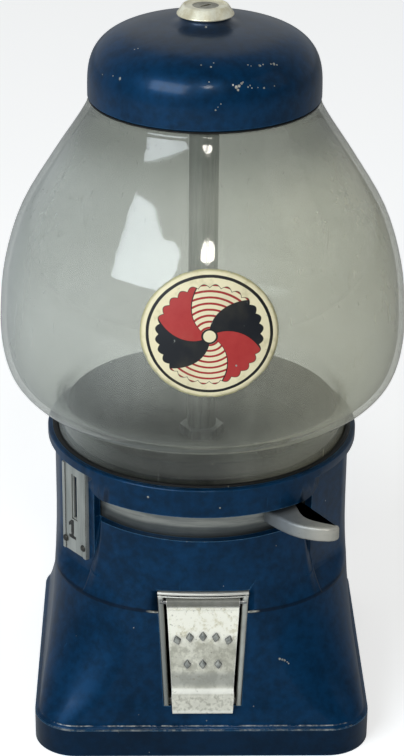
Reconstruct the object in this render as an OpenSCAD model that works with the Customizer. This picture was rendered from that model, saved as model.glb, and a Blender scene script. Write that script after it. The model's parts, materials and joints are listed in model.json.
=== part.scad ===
// Gumball vending machine of the counter kind: a cast base and body, a glass globe
// held by a centre rod, a domed lid with a lock, and a hand lever that turns a drum.
// Millimetres, +Z up, front towards -Y, origin at the middle of the foot on the table.

/* [Base casting] */
// Width and depth of the square foot
foot_w = 163; // [156:1:170]
// Corner radius of the foot
foot_corner_r = 21; // [16:1:30]
// Height of the upright band round the foot
foot_band_h = 14.5; // [10:0.5:18]
// How far the skirt steps in above the foot band
foot_step = 2.2; // [1:0.1:4]
// Height of the base casting, up to the parting line
base_h = 73; // [70:1:76]
// Half width of the machine at the parting line
waist_half_x = 72.5; // [71:0.5:75]
// Half depth of the machine at the parting line
waist_half_y = 68.5; // [68:0.5:72]
// Corner radius of the section at the parting line
waist_corner_r = 57; // [50:1:60]
// How strongly the skirt flares towards the foot
skirt_flare = 1.6; // [1:0.1:2.5]
// Thickness of the cast walls
cast_wall = 4; // [3:0.5:5]

/* [Body casting] */
// Height of the body casting above the parting line
body_h = 69; // [69:1:72]
// Radius of the upper part of the body at the sides and back
body_r = 71.8; // [71:0.1:73]
// Radius of the front panel at its ledge
panel_r = 68; // [67:0.5:69]
// Height of the ledge above the table
ledge_z = 111; // [109:0.5:113]
// Height of the lower edge of the visor above the table
visor_z = 127.5; // [126:0.5:129]
// Half angle that the visor spans on each side of the front
visor_angle = 46.5; // [42:0.5:48]
// Outer radius of the lip that holds the glass
lip_r = 75.2; // [75:0.1:77]
// Height of the lip above the side posts
lip_h = 5.4; // [5:0.1:7]
// Direction that the flat of each side post faces, from the front
post_facing = 51.4; // [48:0.1:54]
// Distance of the flat of each side post from the axis
post_flat = 68; // [67.5:0.1:69]

/* [Drum and lever] */
// Radius of the drum, whose rim shows in the window
drum_r = 63.5; // [62.5:0.1:63.7]
// Angle that the lever turns the drum through
lever_throw = 66; // [50:1:66]
// Radius of the pocket that carries one ball
pocket_r = 9.6; // [8.5:0.1:10]
// Distance of the pocket from the axis
pocket_at = 40; // [38:0.5:41]
// Thickness of the lever
lever_t = 7.4; // [6:0.1:9]
// Radius of the bush that the drum turns on
bush_r = 8; // [7:0.5:9]
// Running clearance of the drum on its bush
run_gap = 0.05; // [0.02:0.01:0.08]

/* [Coin plate] */
// Width of the coin plate
plate_w = 18.6; // [17:0.1:20]
// Height of the coin plate
plate_h = 46.7; // [44:0.1:48]
// Thickness of the coin plate
plate_t = 1.5; // [1:0.1:2]
// Width of the coin slot
slot_w = 2.4; // [2:0.1:3]
// Height of the coin slot
slot_h = 22.5; // [21:0.1:23]

/* [Flap] */
// Width of the flap at its top
flap_w = 35.5; // [34:0.1:36]
// Width of the flap at its lower edge
flap_low_w = 29.8; // [28:0.1:31]
// Width of the frame at its top
frame_w = 43.6; // [43:0.1:45]
// Width of the frame at its lower end
frame_low_w = 37.4; // [36.5:0.1:39]
// How far the frame leans back from upright
frame_lean = 10.3; // [9:0.1:12]

/* [Globe] */
// Thickness of the glass
glass_t = 2.8; // [2.5:0.1:3]
// Outer radius of the glass foot
glass_foot_r = 70; // [69.5:0.1:70.5]
// Largest outer radius of the glass
glass_r = 96.5; // [94:0.1:98]
// Outer radius of the glass at the mouth
mouth_r = 50.5; // [49:0.1:51]

/* [Lid] */
// Outer radius of the dome of the lid
lid_r = 54; // [53:0.1:55]
// Height of the dome of the lid
lid_h = 31.75; // [28:0.25:35]
// Squareness of the dome, where 2 is a true ellipse
lid_power = 3.3; // [2.5:0.1:4]
// Thickness of the lid
lid_wall = 3; // [2.5:0.5:3.5]

/* [Hidden] */
$fn = 96;
eps = 0.01;

navy = [0.05, 0.14, 0.33];
satin = [0.62, 0.62, 0.60];
bright = [0.80, 0.79, 0.74];
steel = [0.55, 0.56, 0.57];
dark_steel = [0.30, 0.31, 0.31];
brass = [0.72, 0.60, 0.35];
rubber = [0.06, 0.06, 0.06];
glass = [0.75, 0.80, 0.78, 0.35];

foot_half = foot_w / 2;
skirt_z = foot_band_h + 3.5;
skirt_half = foot_half - foot_step;
body_top = base_h + body_h;
lip_z = body_top - lip_h;
seat_z = body_top - 3.7;
seat_r = 73;
deck_low = base_h + 27;
deck_top = deck_low + 4;
drum_low = deck_top + 1;
hopper_z = deck_top + 27.2;
drum_top = hopper_z - 0.4;
drum_bore_r = 64.3;
hopper_r = 66.3;
hopper_floor_r = 54;
wall_inner_r = 62;
shelf_r = 56.5;
post_dir = 270 - post_facing;
plate_at = -11.7;
window_half = 49.9;
plate_top = body_top - 9;
plate_low = plate_top - plate_h;
slot_top = plate_top - 5.3;
slot_low = slot_top - slot_h;
pocket_dir = -90 + lever_throw;
rod_r = 4;
rod_low = base_h - 21;
nut_z = base_h - 18;
washer_z = base_h - 11.6;
sleeve_top = 299.8;
catch_z = sleeve_top;
lid_z = body_top + 166.2;
roof_z = lid_z + 2 + lid_h;
lock_top = 352;
bolt_z = catch_z + 7.4;
plug_low = bolt_z + 12.8;
lever_z = 119.1;
lever_screw_dirs = [-61, -53];
deck_screw_dirs = [60, 180, 300];
deck_screw_at = 59.8;
screw_ring = 45.6;
foot_screw = 67.5;
hinge_y = 0.6;
hinge_z = 57.2;
frame_foot = [0, -78.5, 22];
stop_dir = 20;
stop_at = 56;
pawl_dir = 47;
pawl_at = 38;
notch_dir = 75;
sector_r = 29;
drum_wall = 4;
head_low = drum_top - 3.4;
tube_r = pocket_r + 2.4;

// Distance from the axis to a rounded rectangle, going out in the direction a
function ray(a, hx, hy, r) =
    let (c = abs(cos(a)), s = abs(sin(a)), cx = hx - r, cy = hy - r)
    hx * s <= cy * c ? hx / c :
    hy * c <= cx * s ? hy / s :
    let (b = c * cx + s * cy)
    b + sqrt(b * b - cx * cx - cy * cy + r * r);

// One level of a loft, from [height, half width, half depth, corner radius], with m steps a corner
function level(s, m) = [
    for (q = [0:3]) for (j = [0:m])
        let (a = 90 * (q + j / m), x = q == 0 || q == 3 ? 1 : -1, y = q < 2 ? 1 : -1)
        [x * (s[1] - s[3]) + s[3] * cos(a), y * (s[2] - s[3]) + s[3] * sin(a), s[0]]
];

// Smooth curve through the knots k, with a number of steps in each span
function blend4(a, b, c, d, t) =
    0.5 * (2 * b + (c - a) * t + (2 * a - 5 * b + 4 * c - d) * t * t
        + (3 * b - a - 3 * c + d) * t * t * t);
function curve(k, steps) = concat(
    [
        for (i = [0:len(k) - 2]) for (j = [0:steps - 1])
            blend4(k[max(i - 1, 0)], k[i], k[i + 1], k[min(i + 2, len(k) - 1)], j / steps)
    ],
    [k[len(k) - 1]]
);

function reversed(path) = [for (i = [len(path) - 1:-1:0]) path[i]];

// Solid through a stack of rounded-square levels, with m steps a corner
module loft(sections, m) {
    n = 4 * (m + 1);
    top = (len(sections) - 1) * n;
    points = [for (s = sections) each level(s, m)];
    low = [for (i = [0:n - 1]) i];
    high = [for (i = [n - 1:-1:0]) top + i];
    sides = [
        for (k = [0:len(sections) - 2]) for (i = [0:n - 1])
            let (j = (i + 1) % n)
            each [
                [k * n + i, (k + 1) * n + i, (k + 1) * n + j],
                [k * n + i, (k + 1) * n + j, k * n + j]
            ]
    ];
    polyhedron(points = points, faces = concat([low, high], sides));
}

// Closed upright wall: rings holds its outer points level by level, and the inside is round
module wall_loft(rings, inner_r) {
    m = len(rings);
    n = len(rings[0]);
    low = m * n;
    high = low + n;
    inside = [
        for (k = [0, m - 1]) for (p = rings[k])
            [inner_r * p[0] / norm([p[0], p[1]]), inner_r * p[1] / norm([p[0], p[1]]), p[2]]
    ];
    outer_faces = [
        for (k = [0:m - 2]) for (i = [0:n - 1])
            let (j = (i + 1) % n)
            each [
                [k * n + i, (k + 1) * n + i, (k + 1) * n + j],
                [k * n + i, (k + 1) * n + j, k * n + j]
            ]
    ];
    other_faces = [
        for (i = [0:n - 1])
            let (j = (i + 1) % n)
            each [
                [low + i, low + j, high + j, high + i],
                [i, j, low + j, low + i],
                [low - n + j, low - n + i, high + i, high + j]
            ]
    ];
    polyhedron(
        points = concat([for (r = rings) each r], inside),
        faces = concat(outer_faces, other_faces)
    );
}

// Ring or disc between two heights
module ring(outer, inner, low, high) {
    translate([0, 0, low])
        difference() {
            cylinder(r = outer, h = high - low);
            translate([0, 0, -1]) cylinder(r = inner, h = high - low + 2);
        }
}

// Places children at a polar direction and a distance from the axis
module at_polar(direction, distance, z = 0) {
    rotate([0, 0, direction]) translate([distance, 0, z]) children();
}

// Both the left and the right form of the children
module both_sides() {
    children();
    mirror([1, 0, 0]) children();
}

// Frame of the left post's flat: +X out of the flat, +Y towards the front
module on_post() {
    rotate([0, 0, post_dir]) children();
}

// Frame of the flap: the front face is the plane Y = 0 and +Z runs up the slope
module on_front() {
    translate(frame_foot) rotate([-frame_lean, 0, 0]) children();
}

// Hexagon nut with a hole
module hex_nut(across, h, hole) {
    difference() {
        cylinder(d = across / cos(30), h = h, $fn = 6);
        translate([0, 0, -1]) cylinder(r = hole, h = h + 2);
    }
}

// Share of the skirt's height, then the section there
function skirt_level(z) =
    let (u = (z - skirt_z) / (base_h - skirt_z),
         f = 1 - pow(1 - u, skirt_flare),
         g = pow(u, 0.85))
    [
        z,
        skirt_half - (skirt_half - waist_half_x) * f,
        skirt_half - (skirt_half - waist_half_y) * f,
        foot_corner_r - foot_step + (waist_corner_r - foot_corner_r + foot_step) * g
    ];

// Section moved inwards by a wall
function inner_level(s, wall) = [s[0], s[1] - wall, s[2] - wall, max(s[3] - wall, 6)];

module base_shape() {
    linear_extrude(foot_band_h) rounded_square(foot_half, foot_corner_r);
    shoulder = [
        for (p = [[-0.5, 0.6], [0.5, 0.6], [1.1, 1.2], [1.6, 2.1]])
            [foot_band_h + p[0], foot_half - p[1], foot_half - p[1], foot_corner_r - p[1]]
    ];
    skirt = [for (i = [0:7]) skirt_level(skirt_z + (base_h - skirt_z) * i / 7)];
    loft(concat(shoulder, skirt), 12);
}

module base_hollow() {
    walls = [
        for (i = [0:3])
            let (z = skirt_z + (base_h - skirt_z) * i / 3)
            inner_level(skirt_level(z), cast_wall)
    ];
    foot = [3.4, skirt_half - cast_wall, skirt_half - cast_wall, 15];
    over = [base_h + 1, walls[3][1], walls[3][2], walls[3][3]];
    loft(concat([foot], walls, [over]), 8);
}

// Wedge that the flap's frame fills, as seen from the front
module frame_outline(extra, low, high) {
    slope = (frame_w - frame_low_w) / 2 / (63 - 4);
    half_at_low = frame_low_w / 2 + extra + slope * (low - 4);
    half_at_high = frame_low_w / 2 + extra + slope * (high - 4);
    polygon([
        [-half_at_low, low], [half_at_low, low], [half_at_high, high], [-half_at_high, high]
    ]);
}

module frame_cut() {
    on_front()
        translate([0, 20, 0])
            rotate([90, 0, 0])
                linear_extrude(40) frame_outline(0.05, 3.95, 63.25);
}

module base_casting() {
    color(navy)
        difference() {
            base_shape();
            difference() {
                base_hollow();
                // Bar that carries the centre rod
                translate([-90, -12, base_h - 9]) cube([180, 24, 8]);
                for (x = [-1, 1]) for (y = [-1, 1]) {
                    translate([x * foot_screw, y * foot_screw, 0]) cylinder(r = 7.5, h = 13.5);
                    translate([x * screw_ring, y * screw_ring, base_h - 12]) cylinder(r = 8, h = 20);
                }
            }
            // Seat of the bottom plate
            translate([0, 0, -1]) linear_extrude(4.5) rounded_square(foot_half - 3.5, 17);
            translate([0, 0, base_h - 13]) cylinder(r = rod_r + 0.1, h = 20);
            for (x = [-1, 1]) for (y = [-1, 1]) {
                translate([x * foot_screw, y * foot_screw, 2]) cylinder(r = 1.6, h = 10);
                translate([x * screw_ring, y * screw_ring, base_h - 13]) cylinder(r = 2.2, h = 20);
            }
            frame_cut();
        }
}

// Square of half width h with round corners
module rounded_square(h, r) {
    square([2 * h - 2 * r, 2 * h], center = true);
    square([2 * h, 2 * h - 2 * r], center = true);
    for (x = [-1, 1]) for (y = [-1, 1]) translate([x * (h - r), y * (h - r)]) circle(r);
}

// Section of the posts and the back at the height z above the parting line
function post_section(z) =
    let (u = min(z / 28, 1), f = 1 - pow(1 - u, 2.2))
    [
        waist_half_x + (body_r - waist_half_x) * f,
        waist_half_y + (body_r - waist_half_y) * f,
        waist_corner_r + (body_r - 0.05 - waist_corner_r) * f
    ];

// Distance from the axis to the posts, with their flats, in the direction a
function post_at(a, z) =
    let (s = post_section(z),
         flat = post_flat + 8.5 * pow(max(1 - z / 11, 0), 2),
         off = abs(abs(a - 270) - post_facing))
    min(ray(a, s[0], s[1], s[2]), off < 40 ? flat / cos(off) : 200);

// Distance from the axis to the front panel, whose grooves along the posts run out downwards
function panel_at(o, z) =
    let (u = z / (ledge_z - base_h),
         f = 1 - pow(1 - u, 1.9),
         e = min((window_half - abs(o)) / 5, 1),
         sink = 3.6 * pow(u, 0.7) * pow(cos(90 * e), 2))
    ray(
        270 + o,
        waist_half_x + (panel_r - waist_half_x) * f,
        waist_half_y + (panel_r - waist_half_y) * f,
        waist_corner_r + (panel_r - 0.05 - waist_corner_r) * f
    ) - sink;

// Posts, sides, back and front panel as one wall, with the window open above the ledge
module body_wall() {
    rise = ledge_z - base_h;
    flat_half = acos(post_flat / body_r);
    beside_panel = [0.3, 1, 2, 3, 4, 5];
    panel = concat(
        [for (e = beside_panel) e - window_half],
        [for (j = [1:15]) (window_half - 5) * (j / 8 - 1)],
        [for (i = [5:-1:0]) window_half - beside_panel[i]]
    );
    flat = [for (i = [0:4]) window_half + (post_facing + flat_half - window_half) * i / 4];
    back = [
        for (i = [1:42])
            post_facing + flat_half + 2 * (180 - post_facing - flat_half) * i / 43
    ];
    other_flat = [for (i = [4:-1:0]) 360 - flat[i]];
    posts = concat(flat, back, other_flat);
    wall_loft(concat(
        [
            for (z = [0, 2, 4.5, 7.5, 11, 18, 28, rise]) concat(
                [for (o = panel) let (d = panel_at(o, z)) [d * sin(o), -d * cos(o), base_h + z]],
                [for (o = posts) let (d = post_at(270 + (o > 180 ? o - 360 : o), z))
                    [d * sin(o), -d * cos(o), base_h + z]]
            )
        ],
        [
            for (z = [rise, lip_z - base_h + 1]) concat(
                [for (o = panel) [62.4 * sin(o), -62.4 * cos(o), base_h + z]],
                [for (o = posts) let (d = post_at(270 + (o > 180 ? o - 360 : o), z))
                    [d * sin(o), -d * cos(o), base_h + z + (z == rise ? 0.5 : 0)]]
            )
        ]
    ), wall_inner_r);
}

module visor() {
    half = lip_r * sin(visor_angle);
    corner = 8;
    intersection() {
        rotate([0, 0, -90 - visor_angle])
            rotate_extrude(angle = 2 * visor_angle) square([lip_r - 0.1, lip_z + 2]);
        rotate([90, 0, 0])
            linear_extrude(200)
                union() {
                    translate([-half, visor_z + corner]) square([2 * half, 30]);
                    translate([-half + corner, visor_z]) square([2 * half - 2 * corner, 30]);
                    for (x = [-1, 1])
                        translate([x * (half - corner), visor_z + corner]) circle(corner);
                }
    }
}

// Slot that the coin drops through at the end of the throw
module coin_drop() {
    rotate([0, 0, post_dir - lever_throw])
        translate([40, plate_at - 4, deck_low - 8]) cube([23, 8, 16]);
}

module body_casting() {
    color(navy)
        difference() {
            union() {
                body_wall();
                visor();
                rotate_extrude()
                    polygon([
                        [60, lip_z - 0.4], [lip_r - 1.6, lip_z - 0.4], [lip_r, lip_z + 0.8],
                        [lip_r, body_top - 0.8], [lip_r - 0.3, body_top - 0.2],
                        [lip_r - 0.9, body_top], [60, body_top]
                    ]);
                // Ring behind the visor that carries the hopper
                ring(post_flat - 0.2, 60, visor_z, lip_z);
                // Shelf that the deck is screwed to
                ring(64, shelf_r, deck_low - 6, deck_low + 1);
                for (x = [-1, 1]) for (y = [-1, 1])
                    translate([x * screw_ring, y * screw_ring, base_h]) cylinder(r = 8, h = 11);
            }
            translate([0, 0, deck_low]) cylinder(r = drum_bore_r, h = hopper_z - deck_low + 1);
            translate([0, 0, hopper_z]) cylinder(r = hopper_r + 0.2, h = 20);
            translate([0, 0, seat_z]) cylinder(r = seat_r, h = 20);
            coin_drop();
            for (a = deck_screw_dirs)
                at_polar(a, deck_screw_at, deck_low - 7) cylinder(r = 1.6, h = 8);
            // Coin slot through the left post
            on_post()
                translate([55, plate_at - slot_w / 2 - 0.2, slot_low - 0.2])
                    cube([30, slot_w + 0.4, slot_h + 0.4]);
            on_post()
                for (s = [-1, 1])
                    translate([62, plate_at + s * 7, plate_low + 5.5])
                        rotate([0, 90, 0]) cylinder(r = 1.2, h = 12);
            for (x = [-1, 1]) for (y = [-1, 1])
                translate([x * screw_ring, y * screw_ring, base_h - 1]) cylinder(r = 2, h = 10);
            frame_cut();
        }
}

module drum_deck() {
    color(steel)
        difference() {
            translate([0, 0, deck_low])
                cylinder(r = drum_bore_r - 0.2, h = deck_top - deck_low);
            translate([0, 0, deck_low - 1]) cylinder(r = rod_r + 0.1, h = 6);
            at_polar(-90, pocket_at, deck_low - 1) cylinder(r = 11, h = 6);
            coin_drop();
            at_polar(stop_dir, stop_at, deck_low - 1) cylinder(r = 2.5, h = 6);
            at_polar(pawl_dir, pawl_at, deck_low - 1) cylinder(r = 1.5, h = 6);
            for (a = deck_screw_dirs) {
                at_polar(a, deck_screw_at, deck_low - 1) cylinder(r = 1.7, h = 6);
                at_polar(a, deck_screw_at, deck_top - 2.2) cylinder(r = 3.1, h = 3);
            }
        }
}

module deck_screws() {
    color(steel)
        for (a = deck_screw_dirs)
            at_polar(a, deck_screw_at, deck_low - 5) {
                cylinder(r = 1.6, h = 7);
                translate([0, 0, 6.8]) cylinder(r = 2.9, h = 2);
            }
}

module bottom_plate() {
    color(steel)
        translate([0, 0, 1.5])
            difference() {
                linear_extrude(2) rounded_square(foot_half - 3.8, 16.7);
                translate([0, 0, -1]) cylinder(r = 5.25, h = 4);
                for (x = [-1, 1]) for (y = [-1, 1])
                    translate([x * foot_screw, y * foot_screw, -1]) cylinder(r = 1.8, h = 4);
            }
}

module bottom_plate_screws() {
    color(steel)
        for (x = [-1, 1]) for (y = [-1, 1])
            translate([x * foot_screw, y * foot_screw, 0.3]) {
                cylinder(r = 3.2, h = 1.2);
                translate([0, 0, 1.2 - eps]) cylinder(r = 1.6, h = 9.5);
            }
}

module body_screws() {
    color(steel)
        for (x = [-1, 1]) for (y = [-1, 1])
            translate([x * screw_ring, y * screw_ring, base_h - 16]) {
                cylinder(r = 3.6, h = 4);
                translate([0, 0, 4 - eps]) cylinder(r = 2, h = 20);
            }
}

module flap_frame() {
    inner_low = flap_low_w / 2 + 0.9;
    inner_high = flap_w / 2 + 0.9;
    color(bright)
        on_front()
            difference() {
                union() {
                    // Side rails, header and sill
                    translate([0, 11, 0])
                        rotate([90, 0, 0])
                            linear_extrude(11)
                                difference() {
                                    frame_outline(0, 4, 63);
                                    polygon([
                                        [-inner_low, 7], [inner_low, 7],
                                        [inner_high, 59.8], [-inner_high, 59.8]
                                    ]);
                                }
                    translate([0.15 - frame_w / 2, -0.7, 59.8]) cube([frame_w - 0.3, 4, 3.4]);
                }
                // The sill and the back of the header stay clear of the flap
                translate([-16.2, -1, 3]) cube([32.4, 4.6, 5]);
                translate([-30, hinge_y, hinge_z]) rotate([0, 90, 0]) cylinder(r = 1, h = 60);
            }
}

module flap_pin() {
    color(steel)
        on_front()
            translate([-20.6, hinge_y, hinge_z]) rotate([0, 90, 0]) cylinder(r = 1, h = 41.2);
}

module flap_door() {
    half_low = flap_low_w / 2;
    half_high = flap_w / 2;
    color(bright)
        on_front()
            difference() {
                union() {
                    intersection() {
                        translate([-30, 0, 0])
                            rotate([90, 0, 90])
                                linear_extrude(60)
                                    polygon([
                                        [-1.0, 57.2], [-1.4, 50], [-1.5, 32], [-1.6, 16],
                                        [-2.4, 14], [-3.1, 12], [-3.3, 9], [-3.1, 1], [-2.3, 0],
                                        [-0.5, 0], [0, 1], [0.2, 9], [0.9, 14], [1.1, 20],
                                        [1.1, 50], [1.6, 57.2]
                                    ]);
                        translate([0, 10, 0])
                            rotate([90, 0, 0])
                                linear_extrude(20)
                                    polygon([
                                        [-half_low - 0.4, 0], [half_low + 0.4, 0],
                                        [half_low + 0.7, 11], [half_low + 0.2, 14],
                                        [half_high, 58], [-half_high, 58],
                                        [-half_low - 0.2, 14], [-half_low - 0.7, 11]
                                    ]);
                    }
                    translate([-half_high, hinge_y, hinge_z])
                        rotate([0, 90, 0]) cylinder(r = 2.2, h = flap_w);
                }
                translate([-30, hinge_y, hinge_z])
                    rotate([0, 90, 0]) cylinder(r = 1.06, h = 60);
            }
}

module gum_chute() {
    wall = 1.2;
    half = 15.2;
    color(steel)
        difference() {
            translate([-half, 0, 0])
                rotate([90, 0, 90])
                    linear_extrude(2 * half)
                        polygon([
                            [-27, deck_low], [-27, 61], [-66, 31.2], [-69.5, 33.5],
                            [-62.5, 73], [-53.2, 76.5], [-53.2, deck_low]
                        ]);
            translate([-half + wall, 0, 0])
                rotate([90, 0, 90])
                    linear_extrude(2 * half - 2 * wall)
                        polygon([
                            [-28.2, deck_low + 1], [-28.2, 61.6], [-66.7, 32.2], [-80, 22],
                            [-80, 69], [-61, 72.4], [-52, 75.6], [-52, deck_low + 1]
                        ]);
        }
}

module coin_plate() {
    color(satin)
        on_post()
            translate([post_flat, plate_at, plate_low])
                difference() {
                    union() {
                        translate([0, -plate_w / 2, 0]) cube([plate_t, plate_w, plate_h]);
                        for (s = [-1, 1])
                            translate([plate_t - eps, s * (plate_w / 2 - 1.2) - 0.9, 0])
                                cube([0.5, 1.8, plate_h]);
                    }
                    translate([-1, -slot_w / 2, slot_low - plate_low]) cube([4, slot_w, slot_h]);
                    // Sunk border round the slot
                    translate([plate_t - 0.5, -slot_w / 2 - 1, slot_low - plate_low - 1])
                        cube([2, slot_w + 2, slot_h + 2]);
                    for (s = [-1, 1])
                        translate([-1, s * 7, 5.5]) rotate([0, 90, 0]) cylinder(r = 1.3, h = 4);
                }
}

module coin_plate_rivets() {
    color(dark_steel)
        on_post()
            for (s = [-1, 1])
                translate([post_flat - 4, plate_at + s * 7, plate_low + 5.5])
                    rotate([0, 90, 0]) {
                        cylinder(r = 1.2, h = 4 + plate_t + 0.2);
                        translate([0, 0, 4 + plate_t + 0.5])
                            rotate_extrude()
                                polygon([[0, 0], [1.75, 0], [1.6, 0.4], [1.1, 0.75], [0, 0.9]]);
                        translate([0, 0, 4 + plate_t + eps]) cylinder(r = 1.3, h = 0.5);
                    }
}

// Space that the coin takes up in the drum and in its carrier
module coin_pocket() {
    on_post()
        translate([41.5, plate_at - slot_w / 2 - 0.1, drum_low - 1])
            cube([30, slot_w + 0.2, 24.5]);
}

// Rim of the drum, which shows in the window
module operating_drum() {
    color(satin)
        difference() {
            union() {
                ring(drum_r, drum_r - drum_wall, drum_low, drum_top);
                // Lugs that meet the stop pin
                for (a = [stop_dir - 5.4, stop_dir + lever_throw + 5.4])
                    rotate([0, 0, a])
                        translate([53, -2.2, drum_low + 2]) cube([8, 4.4, 20]);
            }
            coin_pocket();
            for (a = lever_screw_dirs)
                at_polar(a, 55, lever_z) rotate([0, 90, 0]) cylinder(r = 1.5, h = 12);
        }
}

// Top of the drum with its hub
module drum_head() {
    color(satin)
        difference() {
            union() {
                translate([0, 0, head_low])
                    cylinder(r = drum_r - drum_wall, h = drum_top - head_low);
                translate([0, 0, drum_low]) cylinder(r = 13, h = drum_top - drum_low);
            }
            translate([0, 0, drum_low - 1]) cylinder(r = bush_r + run_gap, h = 60);
            at_polar(pocket_dir, pocket_at, drum_low - 1) cylinder(r = tube_r, h = 60);
            coin_pocket();
        }
}

// Lines the pocket that one ball rides in
module pocket_tube() {
    color(satin)
        at_polar(pocket_dir, pocket_at) ring(tube_r, pocket_r, drum_low, drum_top);
}

// Block that holds the coin on edge
module coin_carrier() {
    color(steel)
        difference() {
            on_post()
                translate([39.5, plate_at - 4, drum_low]) cube([17.7, 8, head_low - drum_low]);
            coin_pocket();
        }
}

// Ring sector that the pawl drops into at both ends of the throw
module notched_sector() {
    low = drum_low + 1.5;
    color(steel)
        difference() {
            rotate([0, 0, notch_dir - 15])
                rotate_extrude(angle = lever_throw + 30)
                    translate([22, low]) square([sector_r - 22, head_low - low]);
            for (a = [notch_dir, notch_dir + lever_throw])
                rotate([0, 0, a])
                    translate([24.4, -4.2, drum_low - 1]) cube([10, 8.4, 14]);
        }
}

module lever_outline() {
    front = curve([
        [28.6, -56.0], [31.4, -61.6], [35.9, -66.9], [42.9, -72.8], [49.5, -75.5], [56, -76.7],
        [61.4, -76.9], [64.0, -75.6], [64.1, -73.2], [61.6, -71.7], [56.0, -70.3],
        [50.6, -67.8], [46.6, -62.6], [44.0, -56.6], [40.0, -48.9]
    ], 4);
    polygon(front);
}

module lever_handle() {
    low = lever_z - lever_t / 2;
    edge = 0.9;
    color(satin)
        difference() {
            union() {
                translate([0, 0, low + edge]) linear_extrude(lever_t - 2 * edge) lever_outline();
                translate([0, 0, low]) linear_extrude(lever_t) offset(r = -edge) lever_outline();
                intersection() {
                    // Foot of the lever, which lies against the drum
                    ring(65, drum_r - 1, lever_z - 6, lever_z + 6);
                    rotate([0, 0, -65]) rotate_extrude(angle = 16)
                        translate([50, 100]) square([30, 40]);
                }
            }
            translate([0, 0, 100]) cylinder(r = drum_r, h = 40);
            for (a = lever_screw_dirs)
                at_polar(a, 60, lever_z) rotate([0, 90, 0]) cylinder(r = 1.5, h = 8.5);
        }
}

module lever_screws() {
    color(steel)
        for (a = lever_screw_dirs)
            at_polar(a, drum_r - drum_wall - 2.35, lever_z)
                rotate([0, 90, 0]) {
                    cylinder(r = 2.8, h = 2.2);
                    translate([0, 0, 1]) cylinder(r = 1.5, h = 9.15);
                }
}

module thrust_washer() {
    color(brass) ring(12.5, bush_r + 0.05, deck_top, deck_top + 0.7);
}

module pivot_bush() {
    color(brass) ring(bush_r, rod_r + 0.1, deck_top, hopper_z);
}

// Torsion spring round the hub of the drum, wound as one unbroken tube
module return_spring() {
    turns = 5;
    steps = 8;
    sides = 6;
    wire_r = 0.8;
    coil_r = 16.3;
    pitch = 2.4;
    low = deck_top + wire_r + 0.05;
    n = turns * steps;
    points = [
        for (i = [0:n]) for (j = [0:sides - 1])
            let (a = 360 * i / steps, w = 360 * j / sides, r = coil_r + wire_r * cos(w))
            [r * cos(a), r * sin(a), low + pitch * i / steps + wire_r * sin(w)]
    ];
    walls = [
        for (i = [0:n - 1]) for (j = [0:sides - 1])
            let (k = (j + 1) % sides)
            each [
                [i * sides + j, (i + 1) * sides + j, (i + 1) * sides + k],
                [i * sides + j, (i + 1) * sides + k, i * sides + k]
            ]
    ];
    ends = [
        [for (j = [0:sides - 1]) j],
        [for (j = [sides - 1:-1:0]) n * sides + j]
    ];
    gap = min([
        for (i = [0:n - steps]) for (j = [0:sides - 1]) for (k = [0:sides - 1])
            norm(points[i * sides + j] - points[(i + steps) * sides + k])
    ]);
    echo(str("Least gap between turns of the return spring: ", gap, " mm"));
    color(steel) polyhedron(points = points, faces = concat(ends, walls));
}

module stop_pin() {
    color(steel) at_polar(stop_dir, stop_at, deck_low) cylinder(r = 2.5, h = 16);
}

module coin_pawl() {
    arm = 17.9;
    color(steel)
        at_polar(pawl_dir, pawl_at, deck_top + 2)
            rotate([0, 0, 162 - pawl_dir])
                difference() {
                    union() {
                        cylinder(r = 3.2, h = 5);
                        // The nose on the side of the axis drops into a notch of the sector
                        linear_extrude(5)
                            polygon([
                                [0, 2.4], [0, -2.6], [arm - 3, -1.6], [arm + 0.8, -1.2],
                                [arm + 2, 0.2], [arm + 1.7, 4.4], [arm - 1.9, 4.6],
                                [arm - 2.6, 1.6], [6, 1.9]
                            ]);
                    }
                    translate([0, 0, -1]) cylinder(r = 1.56, h = 7);
                }
}

module pawl_pin() {
    color(steel)
        at_polar(pawl_dir, pawl_at, deck_low) {
            cylinder(r = 1.5, h = 13);
            translate([0, 0, 11.4]) cylinder(r = 2.6, h = 1.2);
        }
}

module hopper_floor() {
    color(dark_steel)
        difference() {
            rotate_extrude()
                polygon([
                    [rod_r + 0.1, hopper_z], [hopper_floor_r, hopper_z],
                    [hopper_floor_r, hopper_z + 2.6], [50, hopper_z + 2.2],
                    [14, hopper_z + 2.2], [11, hopper_z + 3.6], [rod_r + 0.1, hopper_z + 3.6]
                ]);
            at_polar(pocket_dir, pocket_at, hopper_z - 1) cylinder(r = 11, h = 10);
        }
}

// Ring that leads the balls from the glass down to the floor
module hopper_ring() {
    color(dark_steel)
        rotate_extrude()
            polygon([
                [hopper_floor_r, hopper_z], [hopper_r, hopper_z], [hopper_r, body_top + 9],
                [hopper_r - 0.4, body_top + 9.4], [hopper_r - 1.2, body_top + 9],
                [hopper_r - 1.5, body_top + 3], [hopper_r - 4, body_top - 1.5],
                [hopper_floor_r, hopper_z + 2.6]
            ]);
}

module center_rod() {
    color(steel) translate([0, 0, rod_low]) cylinder(r = rod_r, h = catch_z + 4.2 - rod_low);
}

module rod_nut() {
    color(steel) translate([0, 0, nut_z]) hex_nut(13, washer_z - nut_z, rod_r);
}

module rod_washer() {
    color(steel) ring(9, rod_r + 0.2, washer_z, base_h - 9);
}

module rod_collar() {
    color(steel) translate([0, 0, hopper_z + 3.6]) hex_nut(19, 5, rod_r);
}

module rod_sleeve() {
    color(satin) ring(7, rod_r + 0.3, hopper_z + 8.6, sleeve_top);
}

module rod_catch() {
    color(steel)
        translate([0, 0, catch_z])
            difference() {
                cylinder(r = 12.5, h = 16);
                translate([0, 0, -1]) cylinder(r = rod_r, h = 8);
                translate([0, 0, 6]) cylinder(r = 10, h = 7);
                translate([-8.4, -3, 12]) cube([16.8, 6, 6]);
            }
}

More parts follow.
